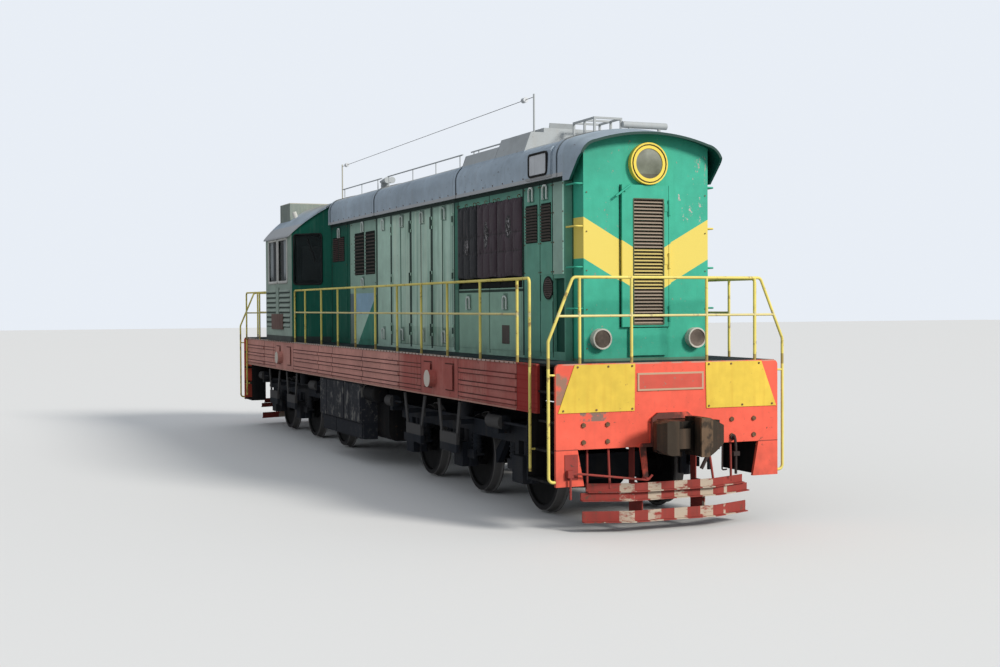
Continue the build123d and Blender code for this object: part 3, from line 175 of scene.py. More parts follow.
world = bpy.data.worlds.new("studio")
scene.world = world
world.use_nodes = True
sky = world.node_tree.nodes["Background"]
sky.inputs["Color"].default_value = (0.88, 0.93, 1.0, 1)
seen_direct, seen_in_gloss = (Tint(world.node_tree).node("ShaderNodeLightPath", output=kind)
                              for kind in ("Is Camera Ray", "Is Glossy Ray"))
sky_strength = seen_direct * 0.24 + 0.68 - seen_in_gloss * 0.50
world.node_tree.links.new(sky_strength.socket, sky.inputs["Strength"])


# Underframe: rolled steel channels and a chequered deck plate, welded, painted black and now dusty
# and oily. The deck is worn to dark steel along its walkways. It carries everything else.
class Finish:
    """A material whose colour, gloss and bumps follow the piece's own coordinates, in metres."""

    def __init__(self, name, colour, gloss=0.5, metal=0.0, shine=0.2):
        self.material = bpy.data.materials.new(name)
        self.material.use_nodes = True
        self.tree = self.material.node_tree
        self.shader = self.tree.nodes["Principled BSDF"]
        self.shader.inputs["Metallic"].default_value = metal
        self.shader.inputs["Specular IOR Level"].default_value = shine
        self.place = Tint(self.tree).node("ShaderNodeTexCoord", output="Object")
        self.x, self.y, self.z = (self.place.node("ShaderNodeSeparateXYZ", {}, {0: self.place}, axis)
                                  for axis in ("X", "Y", "Z"))
        self.colour = colour
        self.gloss = gloss

    def noise(self, scale, stretch=(1, 1, 1), detail=4.0, roughness=0.55):
        spread = self.place.node("ShaderNodeMapping", {}, {"Vector": self.place, "Scale": stretch})
        return spread.node("ShaderNodeTexNoise", {},
                           {"Vector": spread, "Scale": scale, "Detail": detail, "Roughness": roughness})

    def coat(self, mask, colour):
        """Lays a colour over what is there, where the mask is 1."""
        layers = {0: mask, 6: rgba(self.colour), 7: rgba(colour)}
        self.colour = self.place.node("ShaderNodeMix", {"data_type": "RGBA"}, layers, 2)

    def vary(self, scale, low, high, stretch=(1, 1, 1)):
        """Darkens and lightens the colour in soft patches."""
        patches = self.noise(scale, stretch)
        amount = patches.node("ShaderNodeMapRange", {}, {
            "Value": patches, "From Min": 0.3, "From Max": 0.7, "To Min": low, "To Max": high})
        grey = self.place.node("ShaderNodeCombineColor", {}, {0: amount, 1: amount, 2: amount})
        self.colour = self.place.node("ShaderNodeMix", {"data_type": "RGBA", "blend_type": "MULTIPLY"},
                                      {0: 1.0, 6: rgba(self.colour), 7: grey}, 2)

    def done(self, bump=0.0, bump_scale=60.0, dents=0.0):
        """Joins everything to the shader and returns the material."""
        for value, name in ((self.colour, "Base Color"), (self.gloss, "Roughness")):
            if isinstance(value, Tint):
                self.tree.links.new(value.socket, self.shader.inputs[name])
            else:
                self.shader.inputs[name].default_value = rgba(value) if name == "Base Color" else value
        if bump:
            height = self.noise(bump_scale) * 0.25 + self.noise(2.2, detail=2.0) * dents
            raised = height.node("ShaderNodeBump", {}, {"Strength": bump, "Distance": 0.01, "Height": height})
            self.tree.links.new(raised.socket, self.shader.inputs["Normal"])
        return self.material


def rgba(colour):
    return colour if isinstance(colour, Tint) else (*colour[:3], 1.0)


def dress(material, *nodes):
    for node in nodes:
        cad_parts[node].material_slots[0].material = material


def weather(finish, streak, streak_colour, chips=0.0, chip_colour=(0.12, 0.06, 0.04), soot=None):
    """Ages a paint: soft patches, streaks run down by rain, chips down to rust, and soot up to a height."""
    finish.vary(0.9, 0.86, 1.12)
    finish.vary(7.0, 0.93, 1.07)
    runs = finish.noise(3.0, (5.0, 5.0, 0.35)).fade(0.47, 0.78)
    finish.coat(runs * streak, streak_colour)
    if chips:
        flakes = finish.noise(16.0, detail=7.0, roughness=0.7)
        chipped = flakes.fade(0.66 - 0.12 * chips, 0.70 - 0.12 * chips)
        finish.coat(chipped * finish.noise(0.8).fade(0.42, 0.6), chip_colour)
    if soot:
        thick_to, gone_at, depth = soot
        sooty = (1 - finish.z.fade(thick_to, gone_at)) * finish.noise(4.0).fade(0.2, 0.75)
        finish.coat(sooty * depth, (0.035, 0.03, 0.027))
    finish.gloss = finish.noise(5.0) * 0.22 + finish.gloss


frame_black = Finish("frame_black", (0.012, 0.012, 0.013), 0.62)
weather(frame_black, 0.4, (0.05, 0.042, 0.035), 0.4, (0.06, 0.035, 0.022))
deck_height = 1.893
deck_top = frame_black.z.above(deck_height)
frame_black.coat(deck_top, (0.022, 0.034, 0.042))
frame_black.coat(deck_top * frame_black.noise(2.5).fade(0.5, 0.7) * 0.6, (0.10, 0.10, 0.09))
dress(frame_black.done(0.5, 90.0), "underframe", "corner_steps")


# End plates: thick steel plates, flame-cut and welded to the frame, painted coral red over older
# coats. The yellow panels and the pale-edged red plate between them are sheet steel, held by bolts.
coral_red = Finish("coral_red", (0.83, 0.125, 0.077), 0.45)
x, y, z = coral_red.x, coral_red.y, coral_red.z
weather(coral_red, 0.25, (0.62, 0.11, 0.075), 0.32, (0.16, 0.07, 0.05), (0.55, 1.15, 0.45))
at_front = x.above(7.9)
scorch = y.between(-1.44, -1.20) * z.between(1.45, 1.80) * at_front
coral_red.coat(scorch * coral_red.noise(5.0).fade(0.42, 0.55), (0.30, 0.17, 0.12))
below_panel = y.between(-1.15, -0.80) * z.between(1.26, 1.37) * at_front
coral_red.coat(below_panel * coral_red.noise(9.0).fade(0.40, 0.50), (0.24, 0.15, 0.12))
coral_red.coat(z.above(1.885) * coral_red.noise(6.0).fade(0.35, 0.55) * 0.7, (0.42, 0.34, 0.27))
seam = z.near(0.95, 0.006) * abs(y).above(1.17)
coral_red.coat(seam * 0.7, (0.10, 0.03, 0.025))
striker_soot = x.between(8.015, 8.2)
coral_red.coat(striker_soot * coral_red.noise(4.0).fade(0.3, 0.5) * 0.9, (0.045, 0.035, 0.03))
dress(coral_red.done(0.35, 70.0, 0.9), "end_plates")

warning_yellow = Finish("warning_yellow", (0.76, 0.54, 0.072), 0.42)
weather(warning_yellow, 0.35, (0.60, 0.36, 0.045), 0.25, (0.25, 0.12, 0.05))
dress(warning_yellow.done(0.3, 60.0, 1.2), "end_panels")

plate_red = Finish("plate_red", (0.62, 0.10, 0.07), 0.5)
weather(plate_red, 0.35, (0.45, 0.12, 0.08), 0.4, (0.3, 0.2, 0.15))
plate_middle, plate_half_width, plate_half_height = 1.682, 0.408, 0.080
plate_edge = abs(plate_red.y).above(plate_half_width).larger(
    abs(plate_red.z - plate_middle).above(plate_half_height))
plate_red.coat(plate_edge * 0.9, (0.50, 0.36, 0.24))
dress(plate_red.done(0.3, 60.0), "number_plates")


def pattern(name, sizes, shape):
    """Builds a Geometry Nodes tree that sets one shape on every point of a piece, turned as asked."""
    tree = bpy.data.node_groups.new(name, "GeometryNodeTree")
    tree.interface.new_socket("Places", in_out="INPUT", socket_type="NodeSocketGeometry")
    for size, value in sizes.items():
        kind = "NodeSocketInt" if isinstance(value, int) else "NodeSocketFloat"
        tree.interface.new_socket(size, in_out="INPUT", socket_type=kind).default_value = value
    tree.interface.new_socket("Turn", in_out="INPUT", socket_type="NodeSocketVector")
    tree.interface.new_socket("Finish", in_out="INPUT", socket_type="NodeSocketMaterial")
    tree.interface.new_socket("Pieces", in_out="OUTPUT", socket_type="NodeSocketGeometry")
    given = tree.nodes.new("NodeGroupInput")
    result = tree.nodes.new("NodeGroupOutput")

    def add(kind, settings=None, sockets=None):
        made = tree.nodes.new(kind)
        for key, value in (settings or {}).items():
            setattr(made, key, value)
        for key, value in (sockets or {}).items():
            if isinstance(value, bpy.types.NodeSocket):
                tree.links.new(value, made.inputs[key])
            else:
                made.inputs[key].default_value = value
        return made

    one = shape(add, given.outputs)
    spread = add("GeometryNodeInstanceOnPoints", {}, {
        "Points": given.outputs["Places"], "Instance": one, "Rotation": given.outputs["Turn"]})
    whole = add("GeometryNodeRealizeInstances", {}, {"Geometry": spread.outputs[0]})
    painted = add("GeometryNodeSetMaterial", {}, {
        "Geometry": whole.outputs[0], "Material": given.outputs["Finish"]})
    tree.links.new(painted.outputs[0], result.inputs["Pieces"])
    return tree


def lay(name, tree, places, material, slot, body="locomotive", **values):
    """Runs a pattern over the places and leaves one plain mesh that rides on a body."""
    points = bpy.data.meshes.new(name + "_places")
    points.from_pydata(places, [], [])
    carrier = linked(name + "_places", points)
    modifier = carrier.modifiers.new("pattern", "NODES")
    modifier.node_group = tree
    values["Finish"] = material
    for socket in tree.interface.items_tree:
        if socket.in_out == "INPUT" and socket.name in values:
            modifier[socket.identifier] = values[socket.name]
    piece = linked(name, settled_mesh(carrier))
    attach(piece, body)


def bolt_shape(add, given):
    head = add("GeometryNodeMeshCylinder", {}, {
        "Vertices": given["Sides"], "Radius": given["Radius"], "Depth": given["Height"]})
    return head.outputs["Mesh"]


bolt_pattern = pattern("bolt_pattern", {"Sides": 8, "Radius": 0.012, "Height": 0.008}, bolt_shape)
quarter = math.pi / 2
bolt_brown = Finish("bolt_brown", (0.16, 0.09, 0.05), 0.6)
bolt_brown.vary(30.0, 0.6, 1.3)
bolt_finish = bolt_brown.done(0.3, 120.0)
panel_holes = ((0.50, 1.865), (0.80, 1.865), (1.18, 1.865), (0.50, 1.385), (0.95, 1.385), (1.36, 1.385))
ear_holes = ((0.81, 1.22), (1.11, 1.22), (0.81, 1.03), (1.11, 1.03))
large_head = {"Radius": 0.028, "Height": 0.022, "Sides": 6}
for name, face_x, holes, sizes in (("panel_bolts", 8.013, panel_holes, {}),
                                   ("ear_bolts", 8.008, ear_holes, large_head)):
    heads = [(end * face_x, side * hole_y, hole_z)
             for end in (-1, 1) for side in (-1, 1) for hole_y, hole_z in holes]
    lay(name, bolt_pattern, heads, bolt_finish, "running_gear", Turn=(0, quarter, 0), **sizes)


# Side sills: pressed sheet panels with three swages, riveted to the edge channel, in faded brick
# red. The newest piece at the front step is bright, and the round caps over the bolsters are pale.
sill_red = Finish("sill_red", (0.40, 0.105, 0.085), 0.6)
x, out, z = sill_red.x, abs(sill_red.y), sill_red.z
sill_red.coat(x.below(2.65) * 0.8, (0.66, 0.33, 0.27))
sill_red.coat(sill_red.noise(0.7).fade(0.42, 0.62) * 0.6, (0.54, 0.25, 0.21))
weather(sill_red, 0.40, (0.50, 0.25, 0.20), 0.35, (0.17, 0.06, 0.045), (1.30, 1.45, 0.35))
bogie_middle = 4.33
hatch_middles = (-4.77, -3.92, 3.895, 4.745)
sides = (("right", -1), ("left", 1))
seam_and_shade_brown = (0.06, 0.02, 0.018)
ribbed = abs(abs(x) - bogie_middle).above(0.72)
for seam_x in (-7.54, -5.99, -5.05, -3.61, -1.80, -0.90, 0.84, 2.65, 3.61, 5.05, 6.96):
    sill_red.coat(x.near(seam_x, 0.011) * 0.8, seam_and_shade_brown)
# The dark lines along both edges of each swage are painted shade; the upright seams are dark joints.
for band_z in (1.385, 1.440, 1.540, 1.595, 1.695, 1.750):
    swage_shade_line = z.near(band_z, 0.007) * out.between(1.45, 1.476) * ribbed
    sill_red.coat(swage_shade_line * 0.85, seam_and_shade_brown)
sill_red.coat(z.above(1.870) * 0.85, (0.50, 0.44, 0.38))
sill_red.coat(z.below(1.349) * 0.55, (0.50, 0.33, 0.26))
sill_red.coat(x.above(6.955) * 0.9, (0.30, 0.018, 0.014))
sill_red.coat(x.between(6.05, 6.945) * 0.25, (0.30, 0.03, 0.025))
for middle_x in hatch_middles:
    from_middle = abs(x - middle_x)
    from_height = abs(z - 1.615)
    outer_edge = from_middle.below(0.168) * from_height.below(0.183)
    inner_edge = from_middle.below(0.150) * from_height.below(0.165)
    sill_red.coat(outer_edge * (1 - inner_edge) * 0.85, (0.07, 0.022, 0.018))
sill_red.coat(out.above(1.555) * 0.95, (0.62, 0.57, 0.49))
dress(sill_red.done(0.35, 60.0, 1.1), "sill_panels")


def wall_plate(name, side, middle_x, width, z_range, wall_y, thickness, material, bevel):
    """Makes a thin upright plate on one side's wall, with softened edges where a bevel is given."""
    reach = side * width / 2
    low_z, high_z = z_range
    corners = [(middle_x + along, side * (wall_y + out), z) for out in (0, thickness)
               for along, z in ((reach, low_z), (-reach, low_z), (-reach, high_z), (reach, high_z))]
    mesh = bpy.data.meshes.new(name)
    edges_of_sheet = [(0, 1, 5, 4), (1, 2, 6, 5), (2, 3, 7, 6), (3, 0, 4, 7)]
    mesh.from_pydata(corners, [], [(3, 2, 1, 0), (4, 5, 6, 7), *edges_of_sheet])
    mesh.materials.append(material)
    piece = linked(name, mesh)
    if bevel:
        soften = piece.modifiers.new("soften", "BEVEL")
        soften.width = bevel
        soften.segments = 2
    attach(piece, "locomotive")


for side_name, side in sides:
    for number, middle_x in enumerate(hatch_middles, start=1):
        wall_plate(f"{side_name}_sill_hatch_{number}", side, middle_x, width=0.30, z_range=(1.45, 1.78),
                   wall_y=1.4735, thickness=0.005, material=sill_red.material, bevel=0.002)
first_rivet, rivet_pitch, rivet_count = -7.45, 0.145, 104
edge_rivets = [(first_rivet + step * rivet_pitch, side * 1.469, 1.881)
               for step in range(rivet_count) for side in (-1, 1)]
lay("edge_rivets", bolt_pattern, edge_rivets, bolt_finish, "sill_paint",
    Turn=(quarter, 0, 0), Radius=0.010, Height=0.010)


# Bogies: welded side frames with cast axle boxes, coil springs and brake gear, all black with oil
# and brake dust, and the wheels, whose treads are bright from running.
gear_black = Finish("gear_black", (0.018, 0.022, 0.030), 0.62)
weather(gear_black, 0.5, (0.05, 0.042, 0.036), 0.5, (0.05, 0.03, 0.022))
dust = gear_black.noise(1.6).fade(0.42, 0.72)
gear_black.coat(dust * 0.5, (0.055, 0.052, 0.05))
pale_hangers = abs(gear_black.y).above(1.275) * gear_black.z.above(0.70)
gear_black.coat(pale_hangers * 0.5, (0.14, 0.13, 0.12))
gear_finish = gear_black.done(0.6, 90.0)
dress(gear_finish, "front_bogie_frame", "rear_bogie_frame", "front_axle_boxes", "rear_axle_boxes",
      "front_motors", "rear_motors")

wheel_steel = Finish("wheel_steel", (0.014, 0.014, 0.014), 0.55, 0.2)
weather(wheel_steel, 0.3, (0.04, 0.033, 0.028), 0.4, (0.05, 0.03, 0.02))
axle_gap, axle_height = 2.0, 0.555
tread_radius, rim_radius = 0.512, 0.462
from_bogie = abs(abs(wheel_steel.x) - bogie_middle)
from_axle = from_bogie.smaller(abs(from_bogie - axle_gap))
rise = wheel_steel.z - axle_height
radius_squared = from_axle * from_axle + rise * rise
wheel_steel.coat(radius_squared.above(tread_radius**2) * 0.8, (0.22, 0.21, 0.20))
wheel_steel.coat(radius_squared.between(rim_radius**2, tread_radius**2) * 0.35, (0.075, 0.07, 0.07))
wheelsets = [f"{end}_wheelset_{number}" for end in ("front", "rear") for number in (1, 2, 3)]
dress(wheel_steel.done(0.4, 90.0), *wheelsets)


def round_wire(add, line, radius, edges):
    """Gives a curve the thickness of a wire with closed ends."""
    ring = add("GeometryNodeCurvePrimitiveCircle", {"mode": "RADIUS"},
               {"Resolution": edges, "Radius": radius})
    return add("GeometryNodeCurveToMesh", {}, {
        "Curve": line.outputs[0], "Profile Curve": ring.outputs[0], "Fill Caps": True}).outputs[0]


def spring_shape(add, given):
    line = add("GeometryNodeCurveSpiral", {}, {
        "Resolution": 20, "Rotations": given["Turns"], "Height": given["Height"],
        "Start Radius": given["Radius"], "End Radius": given["Radius"]})
    return round_wire(add, line, given["Wire"], 8)


spring_pattern = pattern("spring_pattern", {"Turns": 4.0, "Radius": 0.062, "Height": 0.232, "Wire": 0.013},
                         spring_shape)
for end, centre_x in (("front", bogie_middle), ("rear", -bogie_middle)):
    springs = [(centre_x + along + apart, side * 1.045, 0.604) for along in (-axle_gap, 0.0, axle_gap)
               for apart in (-0.37, 0.37) for side in (-1, 1)]
    lay(f"{end}_springs", spring_pattern, springs, gear_finish, "running_gear", f"{end}_bogie")


# Fuel tank, lockers and air reservoirs: sheet steel hung under the frame. The lockers' upper doors
# have lost most of their grey paint, and dust and oil cover the rest.
locker_grey = Finish("locker_grey", (0.029, 0.031, 0.038), 0.6)
weather(locker_grey, 0.35, (0.075, 0.072, 0.065), 0.7, (0.15, 0.145, 0.13))
bare_patch = locker_grey.noise(5.0, (1, 1, 0.6), 7.0, 0.7).fade(0.54, 0.60)
locker_grey.coat(locker_grey.z.above(0.69) * bare_patch * 0.7, (0.22, 0.21, 0.19))
locker_grey.coat(locker_grey.z.below(0.68) * 0.6, (0.022, 0.025, 0.032))
dress(locker_grey.done(0.6, 70.0, 0.8), "side_lockers")
dress(frame_black.material, "fuel_tank", "air_reservoirs")


# Track guards, couplers and levers: rolled bars in old, scraped red paint with pale stripes, cast
# steel heads black with grease, and a bent red lever.
guard_red = Finish("guard_red", (0.30, 0.05, 0.04), 0.6)
weather(guard_red, 0.4, (0.10, 0.05, 0.04), 0.8, (0.12, 0.07, 0.05))
block_length = 0.17
stripes = (guard_red.y * (math.pi / block_length)).sine().above(0.0)
worn_away = guard_red.noise(4.0, (1, 1, 3), 6.0, 0.7).fade(0.40, 0.50)
guard_red.coat(stripes * worn_away * abs(guard_red.x).above(8.02) * 0.9, (0.48, 0.42, 0.33))
dress(guard_red.done(0.5, 70.0), "track_guards")

greasy_cast = Finish("greasy_cast", (0.060, 0.046, 0.034), 0.5, 0.3)
greasy_cast.coat(abs(greasy_cast.x).below(8.44) * 0.8, (0.008, 0.008, 0.008))
coupler_face = abs(greasy_cast.x).above(8.60)
greasy_cast.coat(coupler_face * greasy_cast.noise(9.0).fade(0.4, 0.6) * 0.8, (0.20, 0.13, 0.08))
weather(greasy_cast, 0.5, (0.14, 0.09, 0.06), 0.7, (0.13, 0.07, 0.04))
dress(greasy_cast.done(0.7, 50.0), "couplers")

lever_red = Finish("lever_red", (0.30, 0.05, 0.04), 0.55)
weather(lever_red, 0.5, (0.10, 0.06, 0.05), 0.8, (0.08, 0.05, 0.04))
lever_red.coat((lever_red.x * lever_red.y).above(0.5) * 0.95, (0.03, 0.028, 0.027))
dress(lever_red.done(0.4, 80.0), "uncoupling_gear")


# Long hood: folded sheet-steel walls and doors. The green is faded to a pale grey-green on the
# engine doors, and fresher and darker towards the cab. Rain has left pale and dark runs.
faded_green = (0.45, 0.63, 0.52)
fresh_green = (0.001, 0.105, 0.068)
middle_green = (0.125, 0.335, 0.250)
seam_and_shade_dark = (0.006, 0.020, 0.016)
bare_steel = (0.72, 0.76, 0.72)
doors_start, mended_end, doors_end, bays_end, bay_foot = -1.60, -0.05, 3.55, 5.97, 2.78
hood_green = Finish("hood_green", middle_green, 0.48)
x, out, z = hood_green.x, abs(hood_green.y), hood_green.z
hood_green.coat(x.between(doors_start, doors_end) * 0.92, faded_green)
below_bays = x.between(doors_end, bays_end) * z.below(bay_foot)
hood_green.coat(below_bays * 0.70, (0.33, 0.49, 0.38))
towards_cab = x.below(-1.62)
hood_green.coat(towards_cab, fresh_green)
mended_bay = x.between(doors_start, mended_end)
hood_green.coat(mended_bay * z.above(bay_foot) * 0.55, (0.15, 0.26, 0.205))
mended = mended_bay * z.below(bay_foot)
past_slant = (x - (z - 2.42) * 1.25).above(-0.50)
hood_green.coat(mended * z.above(2.42) * 0.75, (0.24, 0.40, 0.60))
hood_green.coat(mended * past_slant * 0.9, (0.008, 0.20, 0.135))
hood_green.coat(mended * x.below(-1.30) * 0.8, (0.09, 0.13, 0.13))
corner_sheet = x.between(6.84, 7.14) * z.above(2.92) * out.above(0.921)
hood_green.coat(corner_sheet * 0.85, (0.32, 0.45, 0.38))
# Painted highlight: a bright strip along the front edge of the corner sheet.
hood_green.coat(corner_sheet * x.above(7.105), (0.50, 0.88, 0.70))
weather(hood_green, 0.20, (0.30, 0.38, 0.31), 0.12, (0.22, 0.24, 0.20), (1.88, 2.15, 0.35))
hood_green.coat(towards_cab * 0.55, fresh_green)
hood_green.coat(x.between(doors_end, 3.70) * 0.7, (0.02, 0.13, 0.085))
wall_seams = (
    # place in x, half the width of the shade
    (-2.760, 0.030), (-1.605, 0.014), (-0.045, 0.036), (0.700, 0.036), (1.660, 0.036), (2.610, 0.036),
    (3.545, 0.024), (3.712, 0.015), (4.850, 0.012), (5.960, 0.024), (6.470, 0.008), (6.830, 0.010),
)
for seam_x, half in wall_seams:
    on_seam = x.near(seam_x, half)
    hood_green.coat(on_seam * z.between(1.93, 4.02) * 0.92, seam_and_shade_dark)
# Painted shade under the roof's eaves: the top of the wall is dark, and the wall darkens towards it.
hood_green.coat(z.above(4.005) * 0.95, seam_and_shade_dark)
hood_green.coat(z.fade(3.86, 4.02) * 0.45, seam_and_shade_dark)
hood_green.coat(z.between(2.730, 2.765) * x.between(3.70, bays_end) * 0.9, seam_and_shade_dark)
hoop_half, hoop_depth = 0.070, 0.934
wall_hoops = ((-2.245, 3.89), (-0.80, 3.92), (-0.80, 2.96), (0.33, 3.89), (0.33, 2.12), (4.12, 2.60),
              (5.40, 2.60), (6.235, 3.92), (6.645, 3.92))
# Painted shadow: the wall around each hoop is darkened; the hoop itself is bare steel.
for hoop_x, hoop_z in wall_hoops:
    beside_hoop = abs(x - hoop_x)
    level_with = z.near(hoop_z, 0.11)
    hood_green.coat((1 - beside_hoop.fade(0.05, 0.10)) * level_with * 0.5, seam_and_shade_dark)
    on_hoop = beside_hoop.below(hoop_half) * level_with * out.above(hoop_depth)
    hood_green.coat(on_hoop * 0.85, bare_steel)
vent_x, vent_z = 6.71, 2.76
along, rise = x - vent_x, z - vent_z
round_plate = abs(along).below(0.15) * abs(rise).below(0.15) * out.above(0.927)
hood_green.coat(round_plate * 0.95, (0.10, 0.062, 0.062))
vent_rim = (along * along + rise * rise).above(0.0142)
hood_green.coat(round_plate * vent_rim, (0.008, 0.014, 0.012))
# Painted shade: the recessed strip between the hood's end and the nose is painted dark.
shaded_recess = out.between(0.80, 0.885) * x.between(6.80, 7.12)
hood_green.coat(shaded_recess, (0.010, 0.075, 0.052))
dress(hood_green.done(0.32, 45.0, 1.6), "hood_walls")

door_green = Finish("door_green", faded_green, 0.5)
x, out, z = door_green.x, abs(door_green.y), door_green.z
door_gap = (0.012, 0.032, 0.025)
weather(door_green, 0.45, (0.42, 0.52, 0.42), 0.15, (0.20, 0.24, 0.20), (1.96, 2.35, 0.5))
door_green.coat(door_green.noise(1.3, (1, 1, 0.6)).fade(0.5, 0.75) * 0.55, (0.13, 0.26, 0.185))
door_green.coat(z.below(2.25) * door_green.noise(3.0).fade(0.35, 0.7) * 0.5, (0.12, 0.22, 0.14))
door_hoops = abs(abs(z - 3.005) - 0.885).below(0.11)
# Around each hoop the leaf is darkened as a painted shadow.
for meeting_x in (1.18, 2.135, 3.065):
    door_green.coat(x.near(meeting_x, 0.020) * 0.92, door_gap)
    door_green.coat(abs(x - meeting_x - 0.034).below(0.012) * 0.7, (0.60, 0.72, 0.60))
    beside_hoop = abs(x - meeting_x - 0.09)
    door_green.coat((1 - beside_hoop.fade(0.05, 0.11)) * door_hoops * 0.55, seam_and_shade_dark)
    door_green.coat(beside_hoop.below(hoop_half) * out.above(hoop_depth) * 0.85, bare_steel)
door_runs = door_green.noise(2.6, (4.5, 1.0, 0.12), 5.0, 0.6)
door_green.coat(door_runs.fade(0.50, 0.66) * 0.60, (0.17, 0.32, 0.24))
door_green.coat((1 - door_runs.fade(0.36, 0.48)) * 0.45, (0.60, 0.70, 0.56))
for post_x in (0.70, 1.66, 2.61, 3.52):
    door_green.coat(x.near(post_x, 0.050) * 0.85, door_gap)
# Painted shade under the roof's eaves: the doors darken towards their tops.
door_green.coat(z.fade(3.84, 4.0) * 0.40, (0.02, 0.05, 0.04))
engine_doors = [f"{side}_door_{bay}_{leaf}" for side in ("right", "left") for bay in (1, 2, 3)
                for leaf in ("rear", "front")]
dress(door_green.done(0.32, 45.0, 1.6), *engine_doors)


def louvre_shape(add, given):
    blade = add("GeometryNodeMeshCube", {}, {"Size": (1.0, 0.004, 0.024)})
    wide = add("ShaderNodeCombineXYZ", {}, {0: given["Width"], 1: 1.0, 2: 1.0})
    sized = add("GeometryNodeTransform", {}, {
        "Geometry": blade.outputs["Mesh"], "Rotation": (0.62, 0, 0), "Scale": wide.outputs[0]})
    step = add("ShaderNodeMath", {"operation": "DIVIDE"}, {0: given["Height"], 1: given["Blades"]})
    rise = add("ShaderNodeCombineXYZ", {}, {2: step.outputs[0]})
    column = add("GeometryNodeMeshLine", {}, {"Count": given["Blades"], "Offset": rise.outputs[0]})
    return add("GeometryNodeInstanceOnPoints", {}, {
        "Points": column.outputs[0], "Instance": sized.outputs[0]}).outputs[0]


louvre_pattern = pattern("louvre_pattern", {"Blades": 14, "Width": 0.4, "Height": 0.5}, louvre_shape)
# Painted shade: the dark sheets behind the blades stand for the shade inside the openings.
opening_shade = Finish("opening_shade", (0.012, 0.016, 0.014), 0.8)
opening_shade.vary(20.0, 0.6, 1.4)
opening_shade_finish = opening_shade.done(0.2, 60.0)
louvre_paint = Finish("louvre_paint", (0.095, 0.080, 0.070), 0.55)
louvre_paint.coat(louvre_paint.x.below(-1.62) * 0.6, (0.10, 0.045, 0.045))
weather(louvre_paint, 0.4, (0.16, 0.14, 0.12))
blade_finish = louvre_paint.done(0.3, 60.0)
louvre_banks = (
    # middle in x, lowest blade, width, height, blades
    (-2.48, 3.39, 0.34, 0.42, 12),
    (-2.10, 3.39, 0.34, 0.42, 12),
    (-1.01, 3.12, 0.54, 0.70, 12),
    (-0.39, 3.12, 0.52, 0.70, 12),
    (6.23, 3.34, 0.34, 0.44, 12),
    (6.65, 3.34, 0.28, 0.44, 12),
)


def louvred_opening(names, side, middle_x, low_z, width, height, blades, blade_y, wall_y, paint):
    """Sets a bank of sloping blades on one side's wall, in front of a dark sheet that paints the shade of an
    opening.
    """
    turn = (0, 0, 0 if side < 0 else math.pi)
    lay(names[0], louvre_pattern, [(middle_x, side * blade_y, low_z)], paint, "green_paint",
        Blades=blades, Width=width, Height=height, Turn=turn)
    wall_plate(names[1], side, middle_x, width, z_range=(low_z - 0.025, low_z + height), wall_y=wall_y,
               thickness=0.003, material=opening_shade_finish, bevel=0)


for number, (middle_x, low_z, width, height, blades) in enumerate(louvre_banks, start=1):
    for side_name, side in sides:
        louvred_opening((f"{side_name}_louvres_{number}", f"{side_name}_louvre_opening_{number}"), side,
                        middle_x, low_z, width, height, blades, blade_y=0.937, wall_y=0.9262,
                        paint=blade_finish)

# The air holes are dark discs, which paint the shade inside holes.
hole_pitch = 0.026
hole_places = [(vent_x + hole_pitch * column, side * 0.9366, vent_z + hole_pitch * row) for side in (-1, 1)
               for column in range(-4, 5) for row in range(-4, 5) if column**2 + row**2 < 18]
lay("air_holes", bolt_pattern, hole_places, opening_shade_finish, "dark_steel",
    Turn=(quarter, 0, 0), Radius=0.008, Height=0.003)
hood_bolts = [(bolt_x, side * 0.9285, bolt_z) for side in (-1, 1)
              for bolt_x in (-2.70, -1.79, -1.48, -0.12, 6.02, 6.44, 6.50, 6.80, 6.86, 7.12)
              for bolt_z in (2.95, 3.30, 3.65, 3.98)]
lay("hood_bolts", bolt_pattern, hood_bolts, bolt_finish, "green_paint",
    Turn=(quarter, 0, 0), Radius=0.009, Height=0.006)
for side_name, side in sides:
    wall_plate(f"{side_name}_bare_plate", side, middle_x=5.40, width=0.24, z_range=(2.06, 2.30),
               wall_y=0.9265, thickness=0.004, material=blade_finish, bevel=0.001)


# Radiator bays: dark shutter slats behind quilted winter covers of purple-brown leathercloth, one
# to a bay, sewn in channels, hung on hooks under the roof's edge and worn pale where they rub.
shutter_dark = Finish("shutter_dark", (0.010, 0.013, 0.012), 0.7)
weather(shutter_dark, 0.4, (0.04, 0.036, 0.03))
dress(shutter_dark.done(0.3, 60.0), "radiator_shutters", "cooling_fan")


